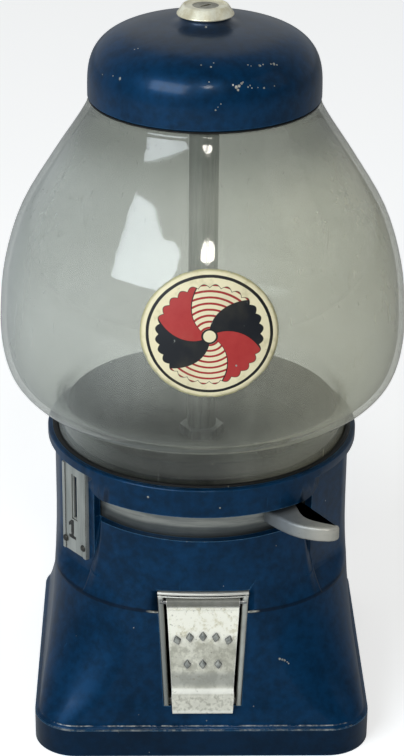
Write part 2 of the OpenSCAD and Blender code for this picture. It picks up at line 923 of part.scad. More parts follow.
module globe_gasket() {
    color(rubber)
        rotate_extrude()
            polygon([
                [hopper_r + 0.6, seat_z], [seat_r - 0.1, seat_z], [seat_r - 0.1, body_top + 0.2],
                [seat_r - 0.8, body_top + 0.8], [glass_foot_r + 0.8, body_top + 0.8],
                [glass_foot_r + 0.1, body_top + 0.2], [glass_foot_r + 0.1, seat_z + 1.3],
                [hopper_r + 0.6, seat_z + 1.3]
            ]);
}

module globe() {
    outside = concat(
        [[glass_foot_r - 0.8, seat_z + 1.3], [glass_foot_r, seat_z + 2.1]],
        curve([
            [glass_foot_r, body_top + 14.5], [glass_foot_r + 1.1, body_top + 17],
            [74.6, body_top + 18.8], [80.5, body_top + 21.2], [87.4, body_top + 25.6],
            [93.2, body_top + 33.5], [glass_r - 0.3, body_top + 46], [glass_r, body_top + 62],
            [93.9, body_top + 85], [86, body_top + 110], [71.2, body_top + 135],
            [60, body_top + 152], [55, body_top + 160.5], [54.0, body_top + 163.4],
            [52.9, body_top + 164.8]
        ], 4),
        [
            [51.6, body_top + 165.2], [mouth_r, body_top + 165.2],
            [mouth_r, body_top + 176], [mouth_r - 0.8, body_top + 177]
        ]
    );
    bowl = curve([
        [glass_foot_r - glass_t, body_top + 15.2], [glass_foot_r - 1.2, body_top + 18.4],
        [73.5, body_top + 21.5], [79.2, body_top + 23.8], [85.4, body_top + 27.8],
        [90.6, body_top + 34.8], [glass_r - 0.3 - glass_t, body_top + 46.5],
        [glass_r - glass_t, body_top + 62], [91.2, body_top + 84.4],
        [83.5, body_top + 108.8], [68.8, body_top + 133.5], [57.6, body_top + 150.4],
        [52.3, body_top + 159.4], [50.4, body_top + 162.4], [48.2, body_top + 165]
    ], 4);
    foot = [
        [glass_foot_r - glass_t, seat_z + 2.1], [glass_foot_r - glass_t + 0.8, seat_z + 1.3]
    ];
    color(glass)
        rotate_extrude()
            polygon(concat(
                outside,
                [[mouth_r - 2.2, body_top + 177], [mouth_r - 2.8, body_top + 176]],
                reversed(bowl),
                foot
            ));
}

module lid_gasket() {
    color(rubber) ring(53.6, mouth_r + 0.2, body_top + 165.2, lid_z - 0.3);
}

// Height of a dome of squareness p, radius r and height h, at the distance x from its axis
function dome(x, r, h, p) = h * pow(1 - pow(x / r, p), 1 / p);

module lid() {
    spring_z = lid_z + 2;
    steps = 24;
    outer = [
        for (i = [0:steps])
            let (x = lid_r * sin(88.5 * (1 - i / steps)))
            if (x >= 15) [x, spring_z + dome(x, lid_r, lid_h, lid_power)]
    ];
    inner_r = lid_r - lid_wall + 0.2;
    inner_h = lid_h - lid_wall;
    inner = [
        for (i = [0:steps])
            let (x = inner_r * sin(88.5 * (1 - i / steps)))
            if (x >= 16) [x, spring_z + dome(x, inner_r, inner_h, lid_power)]
    ];
    seat = roof_z - lid_wall - 0.4;
    color(navy)
        rotate_extrude()
            polygon(concat(
                [[mouth_r + 0.7, lid_z], [lid_r + 1.1, lid_z], [lid_r + 1.4, lid_z + 0.6],
                 [lid_r + 1.1, lid_z + 1.8], [lid_r + 0.3, lid_z + 3.4]],
                outer,
                [[14.6, roof_z + 0.3], [14, roof_z + 1.4], [13, roof_z + 1.8],
                 [9.7, roof_z + 1.8], [9.7, seat], [15.5, seat]],
                reversed(inner),
                [[mouth_r + 0.7, spring_z + 4]]
            ));
}

module lock_barrel() {
    seat = roof_z + 1.8;
    color(brass)
        rotate_extrude()
            polygon([
                [6.02, seat - 20], [9.5, seat - 20], [9.5, seat], [13, seat], [13, seat + 1.4],
                [12.4, seat + 2.4], [11.2, seat + 3.0], [10.6, seat + 4.2], [10.4, lock_top - 1.6],
                [9.6, lock_top - 0.5], [8.4, lock_top], [6.02, lock_top]
            ]);
}

module lock_nut() {
    color(steel) translate([0, 0, roof_z - lid_wall - 4.8]) hex_nut(25, 4.4, 9.5);
}

module lock_plug() {
    color(brass)
        difference() {
            translate([0, 0, plug_low]) cylinder(r = 5.95, h = lock_top - 0.6 - plug_low);
            // Keyway, set askew as in the photograph
            rotate([0, 0, 40])
                translate([-3, -0.7, lock_top - 8]) cube([6, 1.4, 10]);
            translate([0, 0, plug_low - 1]) cylinder(r = 3, h = 5);
        }
}

module lock_bolt() {
    color(steel) {
        translate([0, 0, bolt_z + 3]) cylinder(r = 2.6, h = plug_low + 1 - bolt_z);
        translate([-7.6, -2.4, bolt_z]) cube([15.2, 4.8, 3.4]);
    }
}

base_casting();
body_casting();
bottom_plate();
bottom_plate_screws();
body_screws();
flap_frame();
flap_pin();
flap_door();
gum_chute();
coin_plate();
coin_plate_rivets();
drum_deck();
deck_screws();
operating_drum();
drum_head();
pocket_tube();
coin_carrier();
notched_sector();
lever_handle();
lever_screws();
thrust_washer();
pivot_bush();
return_spring();
stop_pin();
coin_pawl();
pawl_pin();
hopper_floor();
hopper_ring();
center_rod();
rod_nut();
rod_washer();
rod_collar();
rod_sleeve();
rod_catch();
globe_gasket();
globe();
lid_gasket();
lid();
lock_barrel();
lock_nut();
lock_plug();
lock_bolt();
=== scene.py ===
import json
import math

import bmesh
import bpy
from mathutils import Matrix, Vector
from mathutils.bvhtree import BVHTree

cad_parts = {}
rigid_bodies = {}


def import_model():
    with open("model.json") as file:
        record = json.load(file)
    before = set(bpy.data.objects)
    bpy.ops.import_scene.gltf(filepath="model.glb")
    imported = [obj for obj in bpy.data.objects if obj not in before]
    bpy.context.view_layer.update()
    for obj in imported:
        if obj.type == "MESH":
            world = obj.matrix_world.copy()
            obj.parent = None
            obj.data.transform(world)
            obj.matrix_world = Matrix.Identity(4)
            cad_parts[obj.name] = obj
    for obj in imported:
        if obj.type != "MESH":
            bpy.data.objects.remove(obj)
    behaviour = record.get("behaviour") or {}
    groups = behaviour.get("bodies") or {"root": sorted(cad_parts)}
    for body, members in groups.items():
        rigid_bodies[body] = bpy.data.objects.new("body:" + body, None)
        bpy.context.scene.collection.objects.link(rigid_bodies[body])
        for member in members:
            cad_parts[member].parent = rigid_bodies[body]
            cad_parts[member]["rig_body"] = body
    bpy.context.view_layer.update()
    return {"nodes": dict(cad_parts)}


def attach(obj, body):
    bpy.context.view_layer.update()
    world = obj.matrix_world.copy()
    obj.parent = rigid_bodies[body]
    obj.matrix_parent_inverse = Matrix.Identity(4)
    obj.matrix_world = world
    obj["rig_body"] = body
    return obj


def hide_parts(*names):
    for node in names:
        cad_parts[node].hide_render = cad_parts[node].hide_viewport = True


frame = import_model()
nodes = frame["nodes"]
mm = 0.001


def tone(red, green, blue):
    # A screen colour from 0 to 255, as the linear value that sockets take
    def linear(c):
        c = c / 255
        return c / 12.92 if c <= 0.04045 else ((c + 0.055) / 1.055) ** 2.4

    return (linear(red), linear(green), linear(blue), 1)


def addObject(name, data):
    made = bpy.data.objects.new(name, data)
    bpy.context.scene.collection.objects.link(made)
    return made


def asMesh(name, shape):
    mesh = bpy.data.meshes.new(name)
    shape.to_mesh(mesh)
    shape.free()
    return mesh


# Camera, lamps, world and floor

cameraSetup = {
    "distance": 1.0,  # from the rod, on the floor plan
    "height": 0.6325,
    "turn": -1.3,  # degrees, towards the coin plate's side
    "tilt": 25.1,
    "roll": 0.55,
    "lens": 108.1,
    "sensor": 36,
    "near": 0.05,
}
lampSetup = {
    # name: azimuth, elevation, distance, width, height, watts, colour
    # A lamp as wide as it is high is a disc
    "windowLamp": (-39, 30, 2.0, 1.24, 0.80, 25, (0.86, 0.93, 1.0)),
    "ceilingLamp": (2, 39, 1.5, 0.19, 0.19, 3.2, (1.0, 0.95, 0.86)),
    "sideLamp": (75, 30, 2.2, 1.0, 1.4, 1.6, (1.0, 0.97, 0.92)),
}
roomSetup = {
    "aim": (0, 0, 0.19),
    "diffuse": (0.25, 0.26, 0.265, 1),
    "frontSeen": (0.08, 0.09, 0.10, 1),  # what polished metal sees in front, a dim room
    "backSeen": (0.52, 0.54, 0.55, 1),  # and behind the machine, pale paper
    "turnover": (-0.35, 0.85),  # where the one gives way to the other, from front to back
    "floorColour": (0.84, 0.84, 0.83, 1),
    "floorRough": 0.95,
    "floorGloss": 0.1,
    "floorWhite": 0.56,  # seen by the camera only, so that the floor is white and keeps its shadow
    "floorSize": 24.0,
}


def makeCamera(setup):
    data = bpy.data.cameras.new("camera")
    data.lens = setup["lens"]
    data.sensor_width = setup["sensor"]
    data.clip_start = setup["near"]
    camera = addObject("camera", data)
    turn = math.radians(setup["turn"])
    camera.location = (
        math.sin(turn) * setup["distance"],
        -math.cos(turn) * setup["distance"],
        setup["height"],
    )
    look = Matrix.Rotation(turn, 4, "Z") @ Matrix.Rotation(math.radians(90 - setup["tilt"]), 4, "X")
    look = look @ Matrix.Rotation(math.radians(setup["roll"]), 4, "Z")
    camera.rotation_euler = look.to_euler()
    bpy.context.scene.camera = camera


def makeLamp(name, azimuth, elevation, distance, width, height, watts, colour):
    data = bpy.data.lights.new(name, "AREA")
    data.shape = "DISK" if width == height else "RECTANGLE"
    data.size = width
    data.size_y = height
    data.energy = watts
    data.color = colour
    lamp = addObject(name, data)
    a = math.radians(azimuth)
    e = math.radians(elevation)
    away = Vector((math.sin(a) * math.cos(e), -math.cos(a) * math.cos(e), math.sin(e)))
    lamp.location = Vector(roomSetup["aim"]) + away * distance
    lamp.rotation_euler = away.to_track_quat("Z", "Y").to_euler()


def makeWorld(setup):
    world = bpy.data.worlds.new("room")
    bpy.context.scene.world = world
    world.use_nodes = True
    tree = world.node_tree
    new = tree.nodes.new
    light = tree.nodes["Background"]
    light.inputs["Color"].default_value = setup["diffuse"]
    glossy = new("ShaderNodeBackground")
    way = new("ShaderNodeTexCoord")
    parts = new("ShaderNodeSeparateXYZ")
    depth = new("ShaderNodeMapRange")
    depth.interpolation_type = "SMOOTHSTEP"
    depth.inputs["From Min"].default_value = setup["turnover"][0]
    depth.inputs["From Max"].default_value = setup["turnover"][1]
    seen = new("ShaderNodeMix")
    seen.data_type = "RGBA"
    seen.inputs[6].default_value = setup["frontSeen"]
    seen.inputs[7].default_value = setup["backSeen"]
    white = new("ShaderNodeBackground")
    white.inputs["Color"].default_value = (1, 1, 1, 1)
    path = new("ShaderNodeLightPath")
    first = new("ShaderNodeMixShader")
    second = new("ShaderNodeMixShader")
    join = tree.links.new
    join(way.outputs["Generated"], parts.inputs[0])
    join(parts.outputs["Y"], depth.inputs["Value"])
    join(depth.outputs[0], seen.inputs[0])
    join(seen.outputs[2], glossy.inputs["Color"])
    join(path.outputs["Is Glossy Ray"], first.inputs[0])
    join(light.outputs[0], first.inputs[1])
    join(glossy.outputs[0], first.inputs[2])
    join(path.outputs["Is Camera Ray"], second.inputs[0])
    join(first.outputs[0], second.inputs[1])
    join(white.outputs[0], second.inputs[2])
    join(second.outputs[0], tree.nodes["World Output"].inputs["Surface"])


def makeFloor(setup):
    shape = bmesh.new()
    bmesh.ops.create_grid(shape, x_segments=1, y_segments=1, size=setup["floorSize"] / 2)
    mesh = asMesh("floor", shape)
    floor = addObject("floor", mesh)
    material = bpy.data.materials.new("floorPaper")
    material.use_nodes = True
    shader = material.node_tree.nodes["Principled BSDF"]
    shader.inputs["Base Color"].default_value = setup["floorColour"]
    shader.inputs["Roughness"].default_value = setup["floorRough"]
    shader.inputs["Specular IOR Level"].default_value = setup["floorGloss"]
    tree = material.node_tree
    new = tree.nodes.new
    path = new("ShaderNodeLightPath")
    scale = new("ShaderNodeMath")
    scale.operation = "MULTIPLY"
    scale.inputs[1].default_value = setup["floorWhite"]
    glow = new("ShaderNodeEmission")
    both = new("ShaderNodeAddShader")
    join = tree.links.new
    join(path.outputs["Is Camera Ray"], scale.inputs[0])
    join(scale.outputs[0], glow.inputs["Strength"])
    join(shader.outputs[0], both.inputs[0])
    join(glow.outputs[0], both.inputs[1])
    join(both.outputs[0], tree.nodes["Material Output"].inputs["Surface"])
    mesh.materials.append(material)


makeCamera(cameraSetup)
for lampName, values in lampSetup.items():
    makeLamp(lampName, *values)
makeWorld(roomSetup)
makeFloor(roomSetup)
bpy.context.scene.view_settings.view_transform = "Standard"
print("room ready")


# Shader maths and materials


class Link:
    # A socket that does maths: an expression on links and numbers adds its own Math nodes
    def __init__(self, finish, socket):
        self.finish = finish
        self.socket = socket

    def math(self, operation, *values):
        return self.finish.add("Math", {"operation": operation}, *values)

    def __add__(self, other):
        return self.math("ADD", self, other)

    __radd__ = __add__

    def __sub__(self, other):
        return self.math("SUBTRACT", self, other)

    def __rsub__(self, other):
        return self.math("SUBTRACT", other, self)

    def __mul__(self, other):
        return self.math("MULTIPLY", self, other)

    __rmul__ = __mul__

    def __truediv__(self, other):
        return self.math("DIVIDE", self, other)

    def __pow__(self, other):
        return self.math("POWER", self, other)

    def abs(self):
        return self.math("ABSOLUTE", self)

    def most(self, other):
        return self.math("MAXIMUM", self, other)

    def wrap(self, size):
        return self.math("FLOORED_MODULO", self, size)

    def sine(self):
        return self.math("SINE", self)


class Finish:
    # One material round a Principled shader, with short calls for the nodes that feed it
    def __init__(self, name, **constants):
        self.material = bpy.data.materials.new(name)
        self.material.use_nodes = True
        self.tree = self.material.node_tree
        self.shader = self.tree.nodes["Principled BSDF"]
        self.place = self.add("TexCoord", out="Object")
        self.set(**constants)

    def set(self, **values):
        # Sockets by name, with an underscore for each space
        for name, value in values.items():
            self.feed(self.shader.inputs[name.replace("_", " ")], value)
        return self.material

    def feed(self, socket, value):
        if isinstance(value, Link):
            self.tree.links.new(value.socket, socket)
        else:
            socket.default_value = value

    def add(self, kind, settings=None, *values, out=0, **named):
        node = self.tree.nodes.new("ShaderNode" + kind)
        for name, value in (settings or {}).items():
            setattr(node, name, value)
        for index, value in enumerate(values):
            self.feed(node.inputs[index], value)
        for name, value in named.items():
            self.feed(node.inputs[name.replace("_", " ")], value)
        return Link(self, node.outputs[out])

    def mix(self, factor, first, second):
        node = self.tree.nodes.new("ShaderNodeMix")
        node.data_type = "RGBA"
        self.feed(node.inputs[0], factor)
        self.feed(node.inputs[6], first)
        self.feed(node.inputs[7], second)
        return Link(self, node.outputs[2])

    def step(self, value, low, high):
        return self.add("MapRange", {"interpolation_type": "SMOOTHSTEP"}, value, low, high)

    def noise(self, size, detail=3, roughness=0.55, where=None, out=0):
        # size is that of the blotches, in metres
        return self.add(
            "TexNoise", None, out=out, Vector=where or self.place, Scale=0.5 / size, Detail=detail,
            Roughness=roughness,
        )

    def cells(self, size, out="Distance", where=None):
        return self.add("TexVoronoi", None, out=out, Vector=where or self.place, Scale=1 / size)

    def stretched(self, x, y, z):
        return self.add("Mapping", None, Vector=self.place, Scale=(x, y, z))

    def axis(self, name):
        return self.add("SeparateXYZ", None, self.place, out=name)

    def edge(self, radius):
        # Grows from 0 on a flat place to about 0.3 on a square edge
        round_ = self.add("Bevel", {"samples": 6}, Radius=radius)
        flat = self.add("NewGeometry", out="Normal")
        return 1 - self.add("VectorMath", {"operation": "DOT_PRODUCT"}, round_, flat, out="Value")

    def cavity(self, distance):
        # 1 in the open, less in corners; the finishes darken by it as painted shade
        return self.add(
            "AmbientOcclusion", {"samples": 8, "only_local": True}, out="AO", Distance=distance
        )

    def specks(self, size, share, radius):
        # Scattered irregular dots, in a share of the cells of that size
        rough = self.noise(size * 0.25, 2, out=1)
        shifted = self.add(
            "VectorMath", {"operation": "MULTIPLY_ADD"}, rough, (size * 0.25,) * 3, self.place
        )
        near = self.cells(size, where=shifted)
        pick = self.add("SeparateColor", None, self.cells(size, "Color", shifted), out=0)
        return self.step(near, radius, radius * 0.7) * self.step(pick, share, share * 0.9)

    def bump(self, height, strength, distance):
        return self.add("Bump", None, Strength=strength, Distance=distance, Height=height)

    def spot(self, x, y, z, radius, ragged):
        # A mark with a ragged edge at a listed place: centre and greatest radius in millimetres
        centre = (x * mm, y * mm, z * mm)
        gap = self.add("VectorMath", {"operation": "DISTANCE"}, self.place, centre, out="Value")
        radius = radius * 0.72 * mm
        return self.step(gap + (ragged - 0.5) * (radius * 2.2), radius, radius * 0.8)


paint = {
    "deep": tone(0, 36, 62),
    "mid": tone(2, 54, 91),
    "grey": tone(22, 74, 112),
    # rubbed: the colour of the paler edges, partly rubbed thin and partly a painted highlight
    "rubbed": tone(70, 122, 160),
    # film: a painted grey reflection for the top of the lid
    "film": tone(80, 80, 78),
    "primer": tone(150, 152, 145),
    "bare": tone(214, 212, 202),
    "seam": tone(2, 12, 22),
    "shadow": tone(0, 22, 40),
}
castings = {
    # heights on the painted castings, in metres
    "joint": 0.073,  # where the body stands on the base
    "jointWear": 0.0729,
    "footShade": (0.0150, 0.0140),  # the foot band is darker from here down
    "footEdges": (0.0146, 0.0161),  # the two edges of its upper rounding
    "sheenTop": (0.3370, 0.3400),  # of the lid's painted grey sheen
}


def navyPaint(name, chips, wearFrom, extra=None, film=None, coat=0.13):
    # chips: listed marks; wearFrom: edge value at which bare metal shows; extra: more bare
    # metal; film: a painted grey sheen; coat: weight of the clear gloss
    f = Finish(name, Specular_IOR_Level=0.14, Coat_Roughness=0.14, Coat_IOR=1.45)
    broad = f.noise(0.045, 3)
    cloud = f.noise(0.012, 4, 0.6)
    peel = f.noise(0.0016, 2, 0.5)
    grain = f.noise(0.0005, 2, 0.6)
    mottle = broad * 0.3 + cloud * 0.3 + f.noise(0.0022, 3, 0.6) * 0.4
    colour = f.mix(f.step(mottle, 0.36, 0.64), paint["deep"], paint["mid"])
    rubbed = f.step(f.noise(0.005, 5, 0.75), 0.56, 0.78) * 0.30
    colour = f.mix(rubbed, colour, paint["grey"])
    seam = f.step((f.axis("Z") - castings["joint"]).abs(), 0.0005, 0.0012)  # 0 along the dark joint
    edge = f.edge(0.7 * mm) * seam
    colour = f.mix((1 - seam) * 0.6, colour, paint["seam"])
    colour = f.mix(f.step(f.axis("Z"), *castings["footShade"]) * 0.6, colour, paint["shadow"])
    ragged = f.noise(0.0011, 3, 0.65)
    along = f.noise(0.011, 3, 0.6)
    worn = f.step(edge * (0.25 + along * 1.5) * (0.4 + ragged * 1.2), wearFrom, wearFrom * 1.25)
    # A painted grey reflection over the lid's top
    if film:
        colour = f.mix(film(f, cloud), colour, paint["film"])
    # Paler paint along the edges: partly rubbed thin, partly a painted highlight
    glint = f.step(edge, 0.02, 0.12) * (0.35 + ragged * 0.6)
    colour = f.mix(glint, colour, paint["rubbed"])
    marks = f.specks(0.011, 0.08, 0.04)
    marks = marks.most(f.specks(0.005, 0.05, 0.07) * 0.7)
    for x, y, z, radius in chips:
        marks = marks.most(f.spot(x, y, z, radius, ragged))
    if extra:
        marks = marks.most(extra(f, ragged))
    bare = worn.most(marks)
    inside = f.step(ragged, 0.40, 0.62)
    metal = f.mix(inside, paint["primer"], paint["bare"])
    scratches = f.step(f.noise(0.0012, 2, where=f.stretched(1, 1, 0.08)), 0.735, 0.76) * 0.35
    colour = f.mix(scratches, colour, paint["grey"])
    return f.set(
        Base_Color=f.mix(bare, colour, metal),
        Metallic=0.34 + bare * 0.4,
        Roughness=0.34 + cloud * 0.10 + bare * 0.10,
        Coat_Weight=(1 - bare) * coat,
        Normal=f.bump(peel * 0.5 + grain * 0.25 - bare * 1.6, 0.20, 0.00022),
    )


def partingWear(f, ragged):
    # Bare metal along the joint of the castings, beside the flap's header
    z = f.axis("Z")
    x = f.axis("X").abs()
    y = f.axis("Y")
    near = f.step((z - castings["jointWear"]).abs() + (ragged - 0.5) * 0.0008, 0.0006, 0.0003)
    return near * f.step(x, 0.0275, 0.0245) * f.step(x, 0.020, 0.022) * f.step(y, -0.05, -0.06)


def footWearAndHighlight(f, ragged):
    # Bright lines along the upper edges of the foot band: paint rubbed through, most of all at the
    # front, and painted highlights along the same edges
    z = f.axis("Z")
    y = f.axis("Y")
    low, high = castings["footEdges"]
    line = f.step((z - low).abs(), 0.0004, 0.0001).most(f.step((z - high).abs(), 0.0003, 0.0001))
    some = f.step(f.noise(0.003, 5, 0.8) + f.step(y, -0.074, -0.079) * 0.16, 0.58, 0.74)
    return (line * some * (0.25 + ragged * 0.6)).most(partingWear(f, ragged))


def lidTopSheen(f, cloud):
    # A painted grey reflection of the pale ceiling over the top of the dome
    return f.step(f.axis("Z") + (cloud - 0.5) * 0.004, *castings["sheenTop"]) * 0.34


lidChips = [
    # x, y, z and radius, in millimetres, here and in the next two lists
    (11.2, -49.9, 328.5, 1.0), (12.5, -50.0, 327.6, 1.2), (13.8, -49.5, 327.9, 1.1),
    (14.9, -48.7, 328.8, 0.8), (13.4, -50.4, 326.4, 0.8), (15.6, -48.2, 329.3, 0.5),
    (17.8, -48.7, 327.2, 0.6), (18.7, -48.0, 327.7, 0.5), (19.5, -48.2, 326.6, 0.6),
    (22.2, -47.1, 326.5, 0.5), (24.9, -46.0, 325.9, 0.7), (29.6, -43.1, 325.9, 0.4),
    (17.9, -41.5, 335.0, 0.5), (19.2, -41.6, 334.5, 0.4), (23.2, -40.0, 334.3, 0.9),
    (24.6, -38.9, 334.4, 0.6), (28.2, -37.0, 334.0, 0.6), (29.6, -36.2, 333.8, 1.1),
    (30.9, -35.9, 333.3, 0.6), (-2.7, -44.1, 335.7, 0.5), (1.6, -45.0, 335.1, 0.7),
    (2.8, -43.0, 336.3, 0.5), (-46.3, -24.9, 325.2, 0.4), (-41.4, -31.4, 326.6, 0.5),
    (-38.3, -35.2, 326.6, 1.0), (-31.9, -26.2, 337.2, 0.5), (-30.4, -26.3, 337.7, 0.5),
    (0.7, -50.3, 329.9, 0.4), (43.6, -33.5, 310.1, 0.8), (3.6, -53.7, 318.3, 0.5),
    (4.6, -53.5, 319.6, 0.4), (5.9, -53.2, 320.9, 0.4), (0, -11.9, 343.2, 0.7),
]
bodyChips = [
    (-26.1, -70.4, 136.2, 0.7), (7.2, -74.8, 132.7, 0.5), (-56.2, -38.6, 130.4, 1.0),
    (-24, -70, 83, 0.6), (0.5, -68.5, 110.9, 0.9), (-8, -67.8, 110.9, 0.7), (52, -44, 106, 0.8),
    (18, -66.5, 110.9, 0.6),
]
baseChips = [
    (-26, -69.5, 66, 0.6), (-33, -67.5, 64, 0.5), (37, -71.3, 48.6, 0.8), (38.2, -71.3, 48.2, 0.6),
    (39.4, -71.2, 47.7, 0.7), (40.6, -71.2, 46.8, 0.5), (41.3, -71.2, 46.0, 0.6),
    (41, -72.3, 37.5, 0.5), (2, -79.5, 19, 0.7), (8, -79.6, 18.5, 0.5), (-58, -74, 15.3, 2.2),
    (66, -58, 55, 1.0),
]
basePaint = navyPaint("basePaint", baseChips, 0.62, footWearAndHighlight)
bodyPaint = navyPaint("bodyPaint", bodyChips, 0.60, partingWear)
lidPaint = navyPaint("lidPaint", lidChips, 0.42, film=lidTopSheen, coat=0.19)


flapHeights = {
    # on the closed flap and its frame, in metres
    "header": (0.0795, 0.0805),
    # bright, up to brightTop: rubbed metal and a painted highlight
    "bright": (0.056, 0.064),
    "brightTop": (0.0775, 0.0765),
    # strip: a painted shadow under the header
    "strip": (0.0757, 0.0763),
    "smooth": 0.0405,  # middle of the plain band above the bend
    # bend, lip and foot are painted lighter as highlights
    "bend": 0.0352,
    "lip": (0.0345, 0.0330),
    "foot": (0.0262, 0.0250),
}


def studAluminium():
    # The raised studs: grey and worn bright along their upper edges, with painted shade round their
    # feet
    f = Finish("studAluminium")
    patch = f.noise(0.0016, 4, 0.65)
    edge = f.step(f.edge(0.5 * mm), 0.01, 0.12)
    # Painted shade round the studs' feet
    low = f.step(f.cavity(1.8 * mm), 0.70, 1.0)
    colour = f.mix(f.step(patch, 0.35, 0.65), tone(128, 131, 128), tone(176, 177, 170))
    colour = f.mix(low, tone(34, 35, 34), colour)
    return f.set(
        Base_Color=f.mix(edge * low * 0.6, colour, tone(244, 243, 234)),
        Metallic=0.35,
        Roughness=0.36 + patch * 0.2,
        Normal=f.bump(patch, 0.25, 0.0002),
    )


def railAluminium():
    # The frame of the flap, duller than the flap itself and bright along its header; its right rail
    # is painted lighter than its left as painted light, and shade is painted into its corners
    f = Finish("railAluminium")
    mottle = f.noise(0.005, 4, 0.6)
    edge = f.step(f.edge(0.6 * mm), 0.02, 0.16)
    # Painted shade in the corners
    unshaded = f.step(f.cavity(1.4 * mm), 0.5, 0.95)
    header = f.step(f.axis("Z"), *flapHeights["header"])
    # Painted light: the right rail lighter than the left
    worn = f.step(f.axis("X"), -0.004, 0.004)
    colour = f.mix(worn, tone(142, 145, 140), tone(188, 190, 182))
    colour = f.mix(f.step(mottle, 0.36, 0.68) * 0.4, colour, tone(140, 141, 136))
    colour = f.mix(header, colour, tone(220, 219, 210))
    colour = f.mix(unshaded, tone(30, 30, 30), colour)
    colour = f.mix(edge * unshaded * 0.6, colour, tone(236, 236, 228))
    return f.set(
        Base_Color=colour,
        Metallic=0.55,
        Roughness=0.40 + mottle * 0.2,
        Normal=f.bump(mottle, 0.25, 0.0002),
    )


def castAluminium():
    # The flap: at its head a grey strip of painted shadow under the header, under that rubbed
    # bright with a painted highlight, grey above the bend, painted highlights along the bend and
    # its foot, a pale lip painted lighter as a highlight, with fine pits, and painted shade in its
    # recesses
    f = Finish("castAluminium")
    mottle = f.noise(0.006, 5, 0.65)
    grainy = f.noise(0.0022, 4, 0.7)
    pits = f.noise(0.0009, 3, 0.6)
    # Painted shade in the recesses
    unshaded = f.step(f.cavity(1.6 * mm), 0.55, 0.98)
    edge = f.step(f.edge(0.5 * mm), 0.02, 0.16)
    z = f.axis("Z")
    at = flapHeights
    # The upper face is rubbed bright, and lighter still as a painted highlight
    bright = f.step(z + (mottle - 0.5) * 0.010, *at["bright"]) * f.step(z, *at["brightTop"])
    # A painted shadow under the header, at the flap's head
    strip = f.step(z, *at["strip"])
    # A grey band above the bend
    smooth = f.step((z - at["smooth"]).abs(), 0.0055, 0.0015)
    # Painted highlights along the bend and along the foot
    bend = f.step((z - at["bend"]).abs(), 0.0018, 0.0006)
    lip = f.step(z, *at["lip"])
    foot = f.step(z, *at["foot"])
    colour = f.mix(f.step(mottle, 0.32, 0.68), tone(188, 186, 170), tone(230, 228, 212))
    colour = f.mix(f.step(grainy, 0.44, 0.60) * 0.55, colour, tone(156, 154, 138))
    # Colour of the rubbed bright face with its painted highlight
    worn = f.mix(f.step(grainy, 0.50, 0.66), tone(255, 253, 238), tone(224, 219, 194))
    colour = f.mix(bright, colour, worn)
    colour = f.mix(smooth * 0.7, colour, tone(150, 151, 144))
    # The lip painted paler, a painted highlight, over its fine pits
    colour = f.mix(lip * 0.6, colour, tone(240, 238, 224))
    colour = f.mix(lip * f.step(pits, 0.48, 0.60) * 0.4, colour, tone(150, 148, 132))
    colour = f.mix(bend.most(foot) * 0.8, colour, tone(252, 251, 240))
    # The painted shadow under the header
    colour = f.mix(strip * 0.85, colour, tone(98, 99, 94))
    colour = f.mix(f.step(pits, 0.60, 0.72) * 0.5, colour, tone(134, 129, 110))
    colour = f.mix(f.specks(0.004, 0.14, 0.10) * 0.8, colour, tone(90, 85, 68))
    # Painted shade in the recesses
    colour = f.mix(unshaded, tone(44, 44, 42), colour)
    colour = f.mix(edge * unshaded * 0.8, colour, tone(250, 249, 242))
    return f.set(
        Base_Color=colour,
        Metallic=0.22 - bright * 0.16,
        Roughness=0.36 + mottle * 0.22 - edge * 0.1,
        Normal=f.bump(mottle * 0.8 + grainy * 0.6 + pits * 0.3, 0.45, 0.0003),
    )


def satinBand():
    # Circular rubbing on the drum's rim, darker along its lower part
    f = Finish("satinBand")
    streak = f.noise(0.003, 4, 0.6, f.stretched(0.25, 0.25, 4))
    blotch = f.noise(0.010, 4, 0.6)
    z = f.axis("Z")
    low = f.step(z + (blotch - 0.5) * 0.002, 0.1172, 0.1150)  # below the middle of the window
    colour = f.mix(f.step(streak, 0.35, 0.66), tone(130, 134, 132), tone(164, 166, 160))
    colour = f.mix(f.step(blotch, 0.52, 0.72) * 0.3, colour, tone(92, 97, 97))
    colour = f.mix(low * 0.8, colour, f.mix(blotch, tone(58, 66, 72), tone(100, 104, 102)))
    return f.set(
        Base_Color=colour,
        Metallic=0.86,
        Roughness=0.36 + blotch * 0.18,
        Normal=f.bump(streak, 0.18, 0.0001),
    )


def satinLever():
    # Bluish at the root and warmer towards the tip
    f = Finish("satinLever")
    blotch = f.noise(0.007, 4, 0.6)
    fine = f.noise(0.0007, 3, 0.6)
    edge = f.step(f.edge(0.8 * mm), 0.02, 0.2)
    along = f.step(f.axis("X"), 0.036, 0.058)
    colour = f.mix(along, tone(132, 138, 142), tone(188, 185, 174))
    colour = f.mix(f.step(blotch, 0.36, 0.66) * 0.35, colour, tone(112, 115, 114))
    colour = f.mix(f.step(fine, 0.62, 0.75) * 0.4, colour, tone(104, 104, 98))
    colour = f.mix(edge * 0.5, colour, tone(222, 222, 214))
    return f.set(
        Base_Color=colour,
        Metallic=0.50,
        Roughness=0.42 + blotch * 0.12 - edge * 0.12,
        Normal=f.bump(blotch + fine * 0.4, 0.22, 0.0002),
    )


